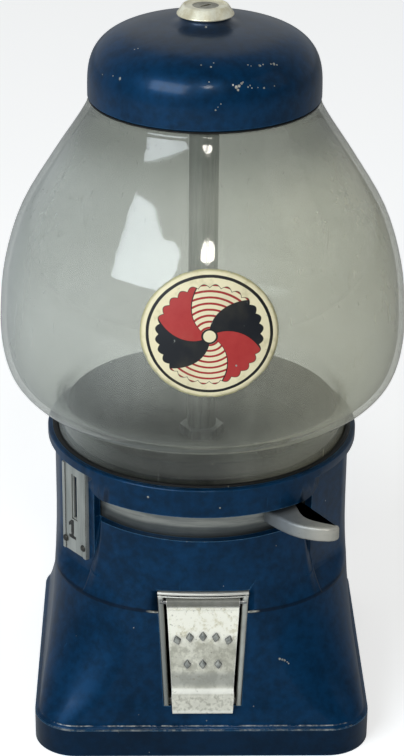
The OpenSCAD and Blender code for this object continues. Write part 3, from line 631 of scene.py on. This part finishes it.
def satinPlate():
    # Brushed up and down, with painted shade in its corners
    f = Finish("satinPlate")
    brushed = f.noise(0.003, 3, 0.6, f.stretched(1.6, 1.6, 0.12))
    blotch = f.noise(0.009, 4, 0.6)
    edge = f.step(f.edge(0.35 * mm), 0.02, 0.2)
    # Painted shade in the corners
    unshaded = f.step(f.cavity(0.9 * mm), 0.5, 0.95)
    colour = f.mix(f.step(brushed, 0.3, 0.7), tone(144, 148, 144), tone(176, 179, 174))
    colour = f.mix(f.step(blotch, 0.55, 0.75) * 0.3, colour, tone(128, 129, 123))
    colour = f.mix(unshaded, tone(58, 58, 54), colour)
    colour = f.mix(edge * 0.6, colour, tone(215, 215, 206))
    return f.set(
        Base_Color=colour,
        Metallic=0.5,
        Roughness=0.42 + blotch * 0.12,
        Normal=f.bump(brushed, 0.15, 0.0001),
    )


def plainSteel(name, dark, light, rough, grainAxis):
    # Drawn or rolled steel with a few rusty specks
    f = Finish(name)
    lines = f.noise(0.002, 3, 0.6, f.stretched(*grainAxis))
    blotch = f.noise(0.008, 4, 0.6)
    colour = f.mix(f.step(lines * 0.6 + blotch * 0.4, 0.35, 0.65), dark, light)
    colour = f.mix(f.specks(0.006, 0.10, 0.12) * 0.6, colour, tone(84, 70, 54))
    return f.set(
        Base_Color=colour,
        Metallic=0.9,
        Roughness=rough + blotch * 0.15,
        Normal=f.bump(lines, 0.2, 0.0001),
    )


def hopperSteel():
    # The dished floor under the glass: dull, scuffed by sweets and dusty
    f = Finish("hopperSteel")
    scuff = f.noise(0.014, 5, 0.7)
    fine = f.noise(0.0015, 3, 0.6)
    dust = f.step(f.noise(0.02, 4, 0.6), 0.45, 0.75)
    colour = f.mix(f.step(scuff, 0.35, 0.65), tone(44, 47, 46), tone(70, 73, 70))
    colour = f.mix(dust * 0.45, colour, tone(128, 130, 124))
    colour = f.mix(f.specks(0.004, 0.10, 0.12), colour, tone(150, 148, 136))
    return f.set(
        Base_Color=colour,
        Metallic=0.45,
        Roughness=0.48 + scuff * 0.2,
        Normal=f.bump(scuff + fine * 0.4, 0.25, 0.0002),
    )


def lockBrass(name, light, dark):
    # Turned brass or nickel, bright on its edges, with painted shade in its hollows
    f = Finish(name)
    turned = f.noise(0.0012, 3, 0.6, f.stretched(0.4, 0.4, 3))
    patch = f.noise(0.004, 4, 0.65)
    edge = f.step(f.edge(0.4 * mm), 0.02, 0.2)
    # Painted shade in the hollows
    unshaded = f.step(f.cavity(0.7 * mm), 0.4, 0.8)
    colour = f.mix(f.step(patch, 0.36, 0.66), dark, light)
    colour = f.mix(unshaded, tone(60, 54, 40), colour)
    colour = f.mix(edge * 0.6, colour, tone(250, 246, 230))
    return f.set(
        Base_Color=colour,
        Metallic=0.35,
        Roughness=0.22 + patch * 0.16,
        Normal=f.bump(turned + patch * 0.3, 0.15, 0.0001),
    )


def blackRubber():
    # Dusty, with a grey bloom
    f = Finish("blackRubber", Specular_IOR_Level=0.35)
    fine = f.noise(0.0008, 3, 0.6)
    dust = f.specks(0.0028, 0.16, 0.16).most(f.specks(0.006, 0.12, 0.10))
    bloom = f.step(f.noise(0.012, 4, 0.6), 0.5, 0.8) * 0.25
    colour = f.mix(bloom, tone(10, 11, 11), tone(48, 50, 48))
    colour = f.mix(dust * 0.7, colour, tone(150, 150, 138))
    return f.set(
        Base_Color=colour,
        Roughness=0.42 + fine * 0.25,
        Normal=f.bump(fine, 0.25, 0.00015),
    )


def darkRivet():
    f = Finish("darkRivet")
    patch = f.noise(0.0012, 3, 0.6)
    edge = f.step(f.edge(0.3 * mm), 0.02, 0.2)
    colour = f.mix(patch, tone(42, 42, 40), tone(86, 85, 80))
    return f.set(
        Base_Color=f.mix(edge * 0.5, colour, tone(140, 140, 132)),
        Metallic=0.8,
        Roughness=0.38 + patch * 0.2,
        Normal=f.bump(patch, 0.2, 0.0001),
    )


glassLook = {
    "haze": 0.17,  # on a clean part of each surface
    "tint": (0.825, 0.835, 0.81, 1),  # what each surface lets through
    "cool": tone(218, 223, 219),  # dust on the window's side
    "warm": tone(250, 247, 222),  # and away from it, paler: painted light for light let through from behind
    "shade": tone(112, 116, 108),  # under the lid
    "clear": (0.230, 0.176),  # rubbed clearer downwards from the one height to the other
    "neck": (0.272, 0.300),  # shaded upwards
    "scuffed": (0.22, 0.27),  # dark scuffs upwards
    "glare": 0.261,  # height of the uneven place that breaks up the lamp's mirror image
    "polish": 0.05,
    "mirror": 0.040,  # seen square on
}


def hazyGlass():
    # Thin-walled glass: each of its surfaces lets light through, adds a film of haze and mirrors
    look = glassLook
    f = Finish("hazyGlass", Roughness=0.6, Specular_IOR_Level=0.2)
    x = f.axis("X")
    z = f.axis("Z")
    cloud = f.noise(0.05, 5, 0.65)
    streaks = f.noise(0.006, 4, 0.65, f.stretched(1, 1, 0.16))
    scratch = f.step(f.noise(0.0010, 2, 0.5, f.stretched(1, 1, 0.05)), 0.70, 0.74)
    scuffs = f.step(f.noise(0.003, 5, 0.75), 0.64, 0.74)
    dark = f.step(f.noise(0.0022, 5, 0.85, f.stretched(1, 1, 0.6)), 0.58, 0.66)
    dark = dark * f.step(z, *look["scuffed"]) * f.step(x.abs(), 0.030, 0.055)
    clean = f.step(z, *look["clear"])
    neck = f.step(z + (cloud - 0.5) * 0.012, *look["neck"])
    grazing = f.add("LayerWeight", None, out="Facing", Blend=0.5)
    haze = look["haze"] + f.step(cloud, 0.35, 0.75) * 0.08 + f.step(streaks, 0.5, 0.75) * 0.04
    haze = haze + scratch * 0.08 + scuffs * 0.08 + f.specks(0.007, 0.10, 0.05) * 0.4
    haze = haze - clean * (0.16 - f.step(x, 0, 0.06) * 0.13) + neck * 0.10 + dark * 0.12
    haze = haze + grazing**3 * (0.60 - f.step(x, 0.03, 0.08) * 0.42)
    # Dust colour, painted paler away from the window as painted light
    colour = f.mix(f.step(x, -0.07, 0.07), look["cool"], look["warm"])
    colour = f.mix((neck * 0.85).most(dark * 0.8), colour, look["shade"])
    f.set(Base_Color=colour)
    dust = Link(f, f.shader.outputs[0])
    clear = f.add("BsdfTransparent", None, Color=look["tint"])
    gloss = f.add("BsdfGlossy", None, Roughness=look["polish"])
    mirror = look["mirror"] + grazing**5 * 0.8
    seam = f.step(x.abs(), 0.0006, 0.0002) * f.step(f.axis("Y"), 0, -0.01)
    crumple = f.step((z - look["glare"]).abs(), 0.022, 0.008) * f.step(x.abs(), 0.022, 0.008)
    crumple = crumple * f.noise(0.0045, 3, 0.6) * 0.5
    ripple = f.bump(f.noise(0.012, 2, 0.5) + seam * 1.2 + streaks * 0.15 + crumple, 0.18, 0.0004)
    for rippled in (dust, gloss, grazing):
        f.feed(rippled.socket.node.inputs["Normal"], ripple)
    film = f.add("MixShader", None, haze, clear, dust)
    whole = f.add("MixShader", None, mirror, film, gloss)
    f.feed(f.tree.nodes["Material Output"].inputs["Surface"], whole)
    return f.material


def stampInk():
    # Black paint rubbed into a stamped figure
    f = Finish("stampInk")
    worn = f.step(f.noise(0.0009, 3, 0.6), 0.56, 0.68)
    return f.set(
        Base_Color=f.mix(worn, tone(26, 27, 26), tone(92, 92, 86)),
        Roughness=0.5 + worn * 0.15,
        Normal=f.bump(worn, 0.3, 0.00008),
    )


def agedTransfer():
    # A water transfer: pinwheel of three inks inside a scalloped ring, on yellowed cream paper
    look = {
        "cream": tone(238, 228, 190),
        "stain": tone(186, 180, 130),
        "red": tone(166, 34, 36),
        "paleRed": tone(186, 60, 56),
        "black": tone(12, 18, 26),
        "line": tone(10, 12, 14),
        "loss": tone(150, 154, 148),
    }
    f = Finish("agedTransfer", Specular_IOR_Level=0.45)
    flat = f.add("TexCoord", out="UV")
    wobble = f.noise(0.004, 3, 0.6)
    u = f.add("SeparateXYZ", None, flat, out="X") * 2 - 1
    v = f.add("SeparateXYZ", None, flat, out="Y") * 2 - 1
    r = (u * u + v * v) ** 0.5 + (wobble - 0.5) * 0.012
    turn = f.add("Math", {"operation": "ARCTAN2"}, v, u) / math.tau
    blade = turn * 6 + r * 1.15 + 0.4
    third = blade.wrap(3)
    side = blade.wrap(1)
    isRed = f.step(third, 1.012, 0.988) * f.step(third, -0.01, 0.01)
    isStriped = f.step(third, 1.988, 2.012)
    stripe = (r * 11).wrap(1)
    stripes = f.step((stripe - 0.5).abs(), 0.20, 0.15)
    between = f.step((side - 0.5).abs(), 0.478, 0.492)
    scallop = (turn * (math.tau * 14)).sine().abs()
    edgeAt = 0.735 + scallop * 0.05
    outside = f.step(r - edgeAt, -0.006, 0.006)
    rim = f.step((r - edgeAt).abs(), 0.014, 0.006)
    keyline = f.step((r - 0.895).abs(), 0.026, 0.018)
    hub = f.step(r, 0.105, 0.092)
    hubLine = f.step((r - 0.105).abs(), 0.018, 0.010)
    mottle = f.noise(0.003, 4, 0.65)
    ink = f.mix(isRed, look["black"], f.mix(mottle, look["red"], look["paleRed"]))
    ink = f.mix(isStriped, ink, f.mix(stripes, look["cream"], look["red"]))
    ink = f.mix(between.most(rim), ink, look["line"])
    ink = f.mix(hub, ink, look["cream"])
    ink = f.mix(hubLine, ink, look["line"])
    paper = f.mix(f.step(mottle, 0.5, 0.75) * 0.4, look["cream"], look["stain"])
    paper = f.mix(keyline, paper, look["line"])
    paper = f.mix(f.step(r + (wobble - 0.5) * 0.05, 0.955, 0.99) * 0.85, paper, look["stain"])
    colour = f.mix(outside, ink, paper)
    scuff = f.step(f.noise(0.0016, 4, 0.75, f.stretched(1, 1, 0.5)), 0.66, 0.72)
    flake = f.specks(0.0042, 0.20, 0.13) * f.step(v, 0.25, -0.2)
    chipped = f.step(r + (f.noise(0.0025, 4, 0.7) - 0.5) * 0.12, 0.985, 1.0)
    lost = (scuff * 0.8).most(flake).most(chipped * 0.6)
    colour = f.mix(lost, colour, look["loss"])
    grime = f.step(f.noise(0.012, 4, 0.6), 0.45, 0.8) * 0.22
    colour = f.mix(grime, colour, tone(120, 112, 84))
    return f.set(
        Base_Color=colour,
        Roughness=0.42 + mottle * 0.16 + lost * 0.1,
        Normal=f.bump(mottle * 0.4 - lost * 1.2, 0.25, 0.00012),
    )


bandFinish = satinBand()
leverFinish = satinLever()
plateFinish = satinPlate()
flapFinish = castAluminium()
railFinish = railAluminium()
studFinish = studAluminium()
steelFinish = plainSteel("zincSteel", tone(112, 114, 114), tone(168, 170, 170), 0.30, (1, 1, 0.2))
tubeFinish = plainSteel("drawnTube", tone(132, 135, 131), tone(176, 178, 173), 0.34, (2, 2, 0.08))
floorFinish = hopperSteel()
lockFinish = lockBrass("lockNickel", tone(255, 252, 230), tone(226, 217, 184))
plugFinish = lockBrass("plugNickel", tone(168, 164, 146), tone(112, 108, 90))
bushFinish = lockBrass("turnedBrass", tone(206, 172, 96), tone(140, 108, 52))
rubberFinish = blackRubber()
rivetFinish = darkRivet()
glassFinish = hazyGlass()
inkFinish = stampInk()
transferFinish = agedTransfer()
print("materials ready")


# The CAD nodes as smooth pieces

smoothAngle = 35  # degrees, below which two faces shade as one
normalWeight = 60  # how far large faces lead the shading of their edges


def addModifier(piece, kind, **settings):
    modifier = piece.modifiers.new(kind.lower(), kind)
    for name, value in settings.items():
        setattr(modifier, name, value)
    return modifier


def meshPiece(name, shape, finishes, body, smooth=smoothAngle):
    mesh = asMesh(name, shape)
    for finish in finishes:
        mesh.materials.append(finish)
    mesh.shade_smooth()
    mesh.set_sharp_from_angle(angle=math.radians(smooth))
    piece = addObject(name, mesh)
    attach(piece, body)
    return piece


def pull(shape, faces, offset):
    # Extrudes faces by an offset
    grown = bmesh.ops.extrude_face_region(shape, geom=faces)["geom"]
    moved = [part for part in grown if isinstance(part, bmesh.types.BMVert)]
    bmesh.ops.translate(shape, vec=offset, verts=moved)


def roundEdges(shape, edges, width, segments=4):
    # width in millimetres
    bmesh.ops.bevel(
        shape, geom=edges, offset=width * mm, segments=segments, profile=0.5, affect="EDGES",
        material=-1,
    )


def copyNode(node, finish, rounded=0, addition=None):
    # A merged copy of a CAD node, smooth where its faces meet gently
    shape = bmesh.new()
    shape.from_mesh(nodes[node].data)
    bmesh.ops.remove_doubles(shape, verts=shape.verts, dist=0.003 * mm)
    bmesh.ops.dissolve_limit(
        shape, angle_limit=math.radians(0.3), verts=shape.verts, edges=shape.edges,
        use_dissolve_boundaries=False,
    )
    if addition:
        addition(shape)
    name = "".join(word.capitalize() if i else word for i, word in enumerate(node.split("_")))
    piece = meshPiece(name, shape, [finish], nodes[node]["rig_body"])
    if rounded:
        addModifier(
            piece, "BEVEL", width=rounded * mm, segments=3, limit_method="ANGLE",
            angle_limit=math.radians(smoothAngle), miter_outer="MITER_ARC", harden_normals=True,
        )
    addModifier(piece, "WEIGHTED_NORMAL", keep_sharp=True, weight=normalWeight)
    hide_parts(node)


# The slope that the flap and its frame lie on: its foot in front of the rod, and its lean
flapFoot = (0, -78.5 * mm, 22 * mm)
flapLean = -10.3
flapFrame = Matrix.Translation(flapFoot) @ Matrix.Rotation(math.radians(flapLean), 4, "X")
flapOrnament = {
    # five studs in an arch over three in a row, in millimetres on the slope of the flap
    "arch": {"radius": 42, "top": 40.5, "spread": 34, "count": 5},
    "row": {"height": 26.4, "pitch": 7.4, "count": 3},
    "stud": (5.5, 7.2),  # width and height
    "proud": 1.15,
    "face": -1.5,  # how far the flap's face lies in front of the slope
    "top": 0.22,  # radius of the stud's flat top, of a base of 0.5
    "round": 0.28,
    "root": 1,  # how deep the stud reaches into the flap
}


def addStuds(shape):
    # Nail-head studs: a four-sided cone with its top cut off and its edges softened
    look = flapOrnament
    places = []
    arch = look["arch"]
    for i in range(arch["count"]):
        a = math.radians(arch["spread"] * (i / (arch["count"] - 1) - 0.5))
        x = arch["radius"] * math.sin(a)
        z = arch["top"] - arch["radius"] * (1 - math.cos(a))
        places.append((x, z, a))
    row = look["row"]
    for i in range(row["count"]):
        places.append(((i - (row["count"] - 1) / 2) * row["pitch"], row["height"], 0))
    wide, high = look["stud"]
    for x, z, a in places:
        stud = bmesh.ops.create_cone(
            shape, cap_ends=True, segments=4, radius1=0.5, radius2=look["top"], depth=1
        )["verts"]
        turn = Matrix.Rotation(math.radians(90), 4, "X")
        size = Matrix.Diagonal((wide * mm, (look["proud"] + look["root"]) * mm, high * mm, 1))
        deep = look["face"] - look["proud"] / 2 + look["root"] / 2
        place = Matrix.Translation((x * mm, deep * mm, z * mm))
        bmesh.ops.transform(
            shape, matrix=flapFrame @ place @ Matrix.Rotation(a, 4, "Y") @ size @ turn, verts=stud
        )
        edges = list({edge for vert in stud for edge in vert.link_edges})
        roundEdges(shape, edges, look["round"], 2)


smallSteel = (steelFinish, 0.2)
carried = {
    # node: finish, width of the rounded edges in millimetres
    "base_casting": (basePaint, 0),
    "body_casting": (bodyPaint, 0),
    "bottom_plate": smallSteel,
    "bottom_plate_screws": smallSteel,
    "body_screws": smallSteel,
    "flap_pin": smallSteel,
    "gum_chute": (steelFinish, 0),
    "coin_plate": (plateFinish, 0.2),
    "coin_plate_rivets": (rivetFinish, 0),
    "drum_deck": (steelFinish, 0),
    "deck_screws": smallSteel,
    "operating_drum": (bandFinish, 0),
    "drum_head": (bandFinish, 0),
    "pocket_tube": (tubeFinish, 0.2),
    "coin_carrier": smallSteel,
    "notched_sector": smallSteel,
    "lever_screws": smallSteel,
    "thrust_washer": (bushFinish, 0.1),
    "pivot_bush": (bushFinish, 0.2),
    "return_spring": (steelFinish, 0),
    "stop_pin": (steelFinish, 0.3),
    "coin_pawl": smallSteel,
    "pawl_pin": smallSteel,
    "hopper_floor": (floorFinish, 0),
    "hopper_ring": (floorFinish, 0),
    "center_rod": (steelFinish, 0.4),
    "rod_nut": (steelFinish, 0.3),
    "rod_washer": smallSteel,
    "rod_collar": (steelFinish, 0.4),
    "rod_sleeve": (tubeFinish, 0.3),
    "rod_catch": (steelFinish, 0.4),
    "globe_gasket": (rubberFinish, 0),
    "lid_gasket": (rubberFinish, 0),
    "lock_nut": (steelFinish, 0.4),
    "lock_plug": (plugFinish, 0.2),
    "lock_bolt": smallSteel,
    "globe": (glassFinish, 0),
}


plugSetup = {"above": 350, "drop": 1.4}


def lowerPlug(shape):
    # The plug's face comes down, to end just inside the bezel of the lock
    top = [v for v in shape.verts if v.co.z > plugSetup["above"] * mm]
    bmesh.ops.translate(shape, vec=(0, 0, -plugSetup["drop"] * mm), verts=top)


additions = {"lock_plug": lowerPlug}
for node, (finish, rounded) in carried.items():
    copyNode(node, finish, rounded, addition=additions.get(node))
print("nodes dressed")


# Pieces with more form than their nodes: lid, lock, lever, flap and the frame round it


def closeShape(shape):
    bmesh.ops.remove_doubles(shape, verts=shape.verts, dist=0.001 * mm)
    gaps = [edge for edge in shape.edges if edge.is_boundary]
    bmesh.ops.holes_fill(shape, edges=gaps)
    bmesh.ops.recalc_face_normals(shape, faces=shape.faces)


def finished(name, shape, finish, node, smooth=smoothAngle):
    piece = meshPiece(name, shape, [finish], nodes[node]["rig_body"], smooth)
    addModifier(piece, "WEIGHTED_NORMAL", keep_sharp=True, weight=normalWeight)
    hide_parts(node)
    return piece


def turned(profile):
    # A closed profile of radius and height, in millimetres, spun about the centre rod
    shape = bmesh.new()
    corners = [shape.verts.new((r * mm, 0, z * mm)) for r, z in profile]
    sides = [shape.edges.new(pair) for pair in zip(corners, corners[1:] + corners[:1])]
    bmesh.ops.spin(
        shape, geom=corners + sides, cent=(0, 0, 0), axis=(0, 0, 1), angle=math.tau, steps=144,
        use_merge=True,
    )
    closeShape(shape)
    return shape


lidSetup = {
    "foot": 308.2,  # height of its rim
    "radius": 54,
    "band": 2,  # height of the straight wall
    "rise": 31.75,  # of the dome over the straight wall
    "steps": 48,  # of the dome's arc
    "power": 3.3,  # squareness of the dome
    "wall": 2.8,
    "mouth": 51.2,
    "boss": 11.2,  # waist of the boss under the lock
    "bossTop": 345.95,
    "bore": 9.7,
}


def lidProfile(setup):
    power = setup["power"]
    steps = setup["steps"]
    spring = setup["foot"] + setup["band"]
    roof = spring + setup["rise"]

    def dome(radius, rise, least):
        arc = []
        for i in range(steps + 1):
            r = radius * math.sin(math.radians(88.5 * (1 - i / steps)))
            if r >= least:
                share = (1 - (r / radius) ** power) ** (1 / power)
                arc.append((r, spring + rise * share))
        return arc

    inner = dome(setup["radius"] - setup["wall"], setup["rise"] - setup["wall"] - 0.2, 16)
    wide = setup["radius"]
    waist = setup["boss"]
    seat = roof - setup["wall"] - 0.6
    return (
        [(setup["mouth"], setup["foot"]), (wide - 0.5, setup["foot"]), (wide, setup["foot"] + 0.5)]
        + dome(wide, setup["rise"], 15)
        + [(13.9, roof + 0.3), (12.9, roof + 0.6), (12.2, roof + 1.1), (11.6, roof + 1.7)]
        + [(waist + 0.1, roof + 2.4), (waist, roof + 3.1), (waist + 0.3, setup["bossTop"])]
        + [(setup["bore"], setup["bossTop"]), (setup["bore"], seat), (15.5, seat)]
        + inner[::-1]
        + [(setup["mouth"], spring + 4)]
    )


lockSetup = {"low": 323.75, "seat": 345.95, "top": 350.6}


def lockProfile(setup):
    seat = setup["seat"]
    top = setup["top"]
    return [
        (6.02, setup["low"]), (9.5, setup["low"]), (9.5, seat), (12.8, seat), (13.0, seat + 0.15),
        (13.1, seat + 0.45), (13.0, seat + 0.8), (10.8, top - 0.7), (10.6, top - 0.35),
        (10.35, top - 0.1), (10, top), (9.65, top - 0.05), (9.4, top - 0.2), (9.25, top - 0.5),
        (6.02, top - 0.5),
    ]


finished("lid", turned(lidProfile(lidSetup)), lidPaint, "lid", 40)
finished("lockBarrel", turned(lockProfile(lockSetup)), lockFinish, "lock_barrel", 30)

leverSetup = {
    # seen from above, from the left of its root round the tip and back, in millimetres
    "outline": [
        (28.7, -56.7), (30.7, -60.3), (32.6, -62.6), (36.2, -66.8), (42.9, -72.6), (49.5, -75.5),
        (55.5, -76.8), (59.6, -76.7), (62.1, -75.5), (62.9, -73.7), (61.8, -72.2), (58.0, -70.5),
        (53.4, -68.5), (49.2, -65.4), (46.9, -61.2), (46.0, -56.2), (44.8, -50.6), (43.8, -46.0),
        (37.0, -51.6),
    ],
    "corners": (0, 17),  # points where the outline turns sharply
    "low": 115.4,
    "high": 122.8,
    "round": 1.6,
    "drum": 63.6,  # edges inside this radius stay square
}


def makeLever(setup):
    curve = bpy.data.curves.new("leverOutline", "CURVE")
    curve.dimensions = "2D"
    curve.fill_mode = "NONE"
    curve.resolution_u = 6
    spline = curve.splines.new("BEZIER")
    spline.bezier_points.add(len(setup["outline"]) - 1)
    for i, (point, (x, y)) in enumerate(zip(spline.bezier_points, setup["outline"])):
        point.co = (x * mm, y * mm, 0)
        kind = "VECTOR" if i in setup["corners"] else "AUTO"
        point.handle_left_type = kind
        point.handle_right_type = kind
    spline.use_cyclic_u = True
    drawn = addObject("leverOutline", curve)
    made = drawn.evaluated_get(bpy.context.evaluated_depsgraph_get())
    mesh = bpy.data.meshes.new_from_object(made)
    bpy.data.objects.remove(drawn)
    shape = bmesh.new()
    shape.from_mesh(mesh)
    bpy.data.meshes.remove(mesh)
    bmesh.ops.remove_doubles(shape, verts=shape.verts, dist=0.01 * mm)
    bmesh.ops.translate(shape, vec=(0, 0, setup["low"] * mm), verts=shape.verts)
    face = bmesh.ops.contextual_create(shape, geom=shape.edges[:])["faces"]
    pull(shape, face, (0, 0, (setup["high"] - setup["low"]) * mm))
    closeShape(shape)
    edges = []
    for edge in shape.edges:
        low, high = edge.verts
        flat = abs(low.co.z - high.co.z) < 0.1 * mm
        outside = min(v.co.xy.length for v in edge.verts) > setup["drum"] * mm
        if flat and outside:
            edges.append(edge)
    roundEdges(shape, edges, setup["round"])
    bmesh.ops.recalc_face_normals(shape, faces=shape.faces)
    finished("leverHandle", shape, leverFinish, "lever_handle", 50)


makeLever(leverSetup)

frameSetup = {
    # on the slope of the flap: across and up, in millimetres
    "outline": [
        (-18.45, 4), (-21.8, 62.4), (21.8, 62.4), (18.45, 4), (16.15, 4), (18.85, 59.8),
        (-18.85, 59.8), (-16.15, 4),
    ],
    "deep": 11,
    "round": 1.1,
    "sill": (16.2, 3.6, 11, 4, 7),  # half its width, near, far, low, high
    "bow": 120,  # radius on plan of the header's beads
    "swing": 20.8,  # degrees of it that the header spans
    "inset": 2,  # how far the bow's middle lies in front of the slope
    "beads": [
        (-5.3, 59.6), (-0.5, 59.6), (-0.1, 59.8), (0.05, 60.1), (-0.1, 60.4), (-0.6, 60.6),
        (-0.6, 60.8), (0, 61.0), (0.3, 61.4), (0.3, 61.9), (0, 62.3), (-0.9, 62.5), (-5.3, 62.5),
    ],
}


def makeFrame(setup):
    shape = bmesh.new()
    corners = [shape.verts.new((x * mm, setup["deep"] * mm, z * mm)) for x, z in setup["outline"]]
    pull(shape, [shape.faces.new(corners)], (0, -setup["deep"] * mm, 0))
    edges = [e for e in shape.edges if all(abs(v.co.y) < 0.1 * mm for v in e.verts)]
    roundEdges(shape, edges, setup["round"])
    half, near, far, low, high = setup["sill"]
    sill = bmesh.ops.create_cube(shape, size=1)["verts"]
    size = Matrix.Diagonal((half * 2 * mm, (far - near) * mm, (high - low) * mm, 1))
    middle = Matrix.Translation((0, (near + far) / 2 * mm, (low + high) / 2 * mm))
    bmesh.ops.transform(shape, matrix=middle @ size, verts=sill)
    start = Matrix.Rotation(math.radians(-90 - setup["swing"] / 2), 4, "Z")
    centre = Vector((0, (setup["bow"] - setup["inset"]) * mm, 0))
    beads = []
    for r, z in setup["beads"]:
        beads.append(shape.verts.new(centre + start @ Vector(((setup["bow"] + r) * mm, 0, z * mm))))
    end = shape.faces.new(beads)
    swing = math.radians(setup["swing"])
    bmesh.ops.spin(
        shape, geom=[end], cent=centre, axis=(0, 0, 1), angle=swing, steps=32, use_merge=False
    )
    closeShape(shape)
    bmesh.ops.transform(shape, matrix=flapFrame, verts=shape.verts)
    finished("flapFrame", shape, railFinish, "flap_frame", 40)


makeFrame(frameSetup)

doorSetup = {
    # on the slope, depth and height in millimetres, from the hinge down the face and back up
    "section": [
        (-0.5, 55.4), (-0.55, 53.9), (-0.8, 53.5), (-1.3, 53.2), (-1.45, 52.6), (-1.5, 32),
        (-1.55, 18), (-1.7, 16), (-2.1, 14.6), (-2.6, 13.3), (-3.0, 12), (-3.25, 10.5), (-3.3, 9),
        (-3.2, 3), (-3.0, 2), (-2.5, 1.4), (-1.9, 1.2), (-0.7, 1.2), (-0.2, 1.6), (0, 2.4),
        (0.2, 9), (0.5, 12), (0.9, 14), (1.1, 20), (1.1, 50), (1.4, 55.4),
    ],
    "widths": [(0, 14.35), (11, 14.95), (14, 14.75), (58, 17.45)],  # height, half width
    "hinge": (0.6, 57.2),
    "knuckle": (2.2, 1.06),  # outer and inner radius
}


def halfWidth(z, widths):
    for (low, first), (high, second) in zip(widths, widths[1:]):
        if z <= high:
            return first + (second - first) * (z - low) / (high - low)
    return widths[-1][1]


def makeDoor(setup):
    shape = bmesh.new()
    section = [shape.verts.new((-mm, y * mm, z * mm)) for y, z in setup["section"]]
    pull(shape, [shape.faces.new(section)], (2 * mm, 0, 0))
    for vert in shape.verts:
        vert.co.x *= halfWidth(vert.co.z / mm, setup["widths"])
    y, z = setup["hinge"]
    half = setup["widths"][-1][1] * mm
    place = Matrix.Translation((-half, y * mm, z * mm)) @ Matrix.Rotation(math.radians(90), 4, "Y")
    rings = []
    for radius in setup["knuckle"]:
        made = bmesh.ops.create_circle(shape, segments=32, radius=radius * mm, matrix=place)
        rings += list({edge for vert in made["verts"] for edge in vert.link_edges})
    wall = bmesh.ops.bridge_loops(shape, edges=rings)["faces"]
    pull(shape, wall, (half * 2, 0, 0))
    closeShape(shape)
    bmesh.ops.transform(shape, matrix=flapFrame, verts=shape.verts)
    plain = set(shape.faces)
    addStuds(shape)
    for face in shape.faces:
        face.material_index = 0 if face in plain else 1
    piece = finished("flapDoor", shape, flapFinish, "flap_door")
    piece.data.materials.append(studFinish)


makeDoor(doorSetup)
print("shaped pieces made")


# The coin plate's numeral

plateTurn = 218.6  # degrees about the centre rod, of the post's face
plateFrame = Matrix.Rotation(math.radians(plateTurn), 4, "Z")
numeralSetup = {
    # The figure 1 with its flag and foot, millimetres
    "outline": [
        (-2.7, 0), (2.7, 0), (2.7, 1.6), (1.1, 1.6), (1.1, 10.2), (-0.5, 10.2),
        (-2.9, 8.0), (-2.9, 6.2), (-1.1, 7.2), (-1.1, 1.6), (-2.7, 1.6),
    ],
    "across": -13.6,  # place along the post's face
    "foot": 93.4,  # height of its foot above the table
    "face": 69.45,  # distance of its back from the axis
    "proud": 0.12,
}


def makeNumeral(setup):
    shape = bmesh.new()
    face = shape.faces.new([shape.verts.new((x, y, 0)) for x, y in setup["outline"]])
    pull(shape, [face], (0, 0, setup["proud"]))
    bmesh.ops.recalc_face_normals(shape, faces=shape.faces)
    bmesh.ops.scale(shape, vec=(mm, mm, mm), verts=shape.verts)
    # The figure's right runs along the post's +Y, its up along +Z, and its face points out
    stand = Matrix(((0, 0, 1, 0), (1, 0, 0, 0), (0, 1, 0, 0), (0, 0, 0, 1)))
    place = Matrix.Translation((setup["face"] * mm, setup["across"] * mm, setup["foot"] * mm))
    bmesh.ops.transform(shape, matrix=plateFrame @ place @ stand, verts=shape.verts)
    meshPiece("plateNumeral", shape, [inkFinish], "housing")


makeNumeral(numeralSetup)
print("numeral made")


# The round transfer on the glass

transferSetup = {
    # millimetres
    "width": 61,
    "height": 56,
    "x": 1.0,
    "z": 228.0,
    "rings": 14,
    "spokes": 72,
    "gap": 0.04,  # from the glass to the film
    "film": 0.10,  # thickness
}


def makeTransfer(setup):
    glass = bmesh.new()
    glass.from_mesh(nodes["globe"].data)
    tree = BVHTree.FromBMesh(glass)
    glass.free()
    shape = bmesh.new()
    bmesh.ops.create_circle(shape, cap_ends=True, cap_tris=True, segments=setup["spokes"], radius=1)
    spokes = [e for e in shape.edges if not e.is_boundary]
    bmesh.ops.subdivide_edges(shape, edges=spokes, cuts=setup["rings"], use_grid_fill=True)
    layer = shape.loops.layers.uv.new("film")
    for face in shape.faces:
        for loop in face.loops:
            loop[layer].uv = (loop.vert.co.x * 0.5 + 0.5, loop.vert.co.y * 0.5 + 0.5)
    for vert in shape.verts:
        x = (setup["x"] + vert.co.x * setup["width"] / 2) * mm
        z = (setup["z"] + vert.co.y * setup["height"] / 2) * mm
        place, normal, _, _ = tree.ray_cast(Vector((x, -0.3, z)), Vector((0, 1, 0)))
        vert.co = place + normal * (setup["gap"] * mm)
    bmesh.ops.recalc_face_normals(shape, faces=shape.faces)
    if sum(face.normal.y for face in shape.faces) > 0:
        bmesh.ops.reverse_faces(shape, faces=shape.faces)
    piece = meshPiece("glassTransfer", shape, [transferFinish], "housing", smooth=60)
    addModifier(piece, "SOLIDIFY", thickness=setup["film"] * mm, offset=1, use_rim=True)


makeTransfer(transferSetup)
print("transfer made")
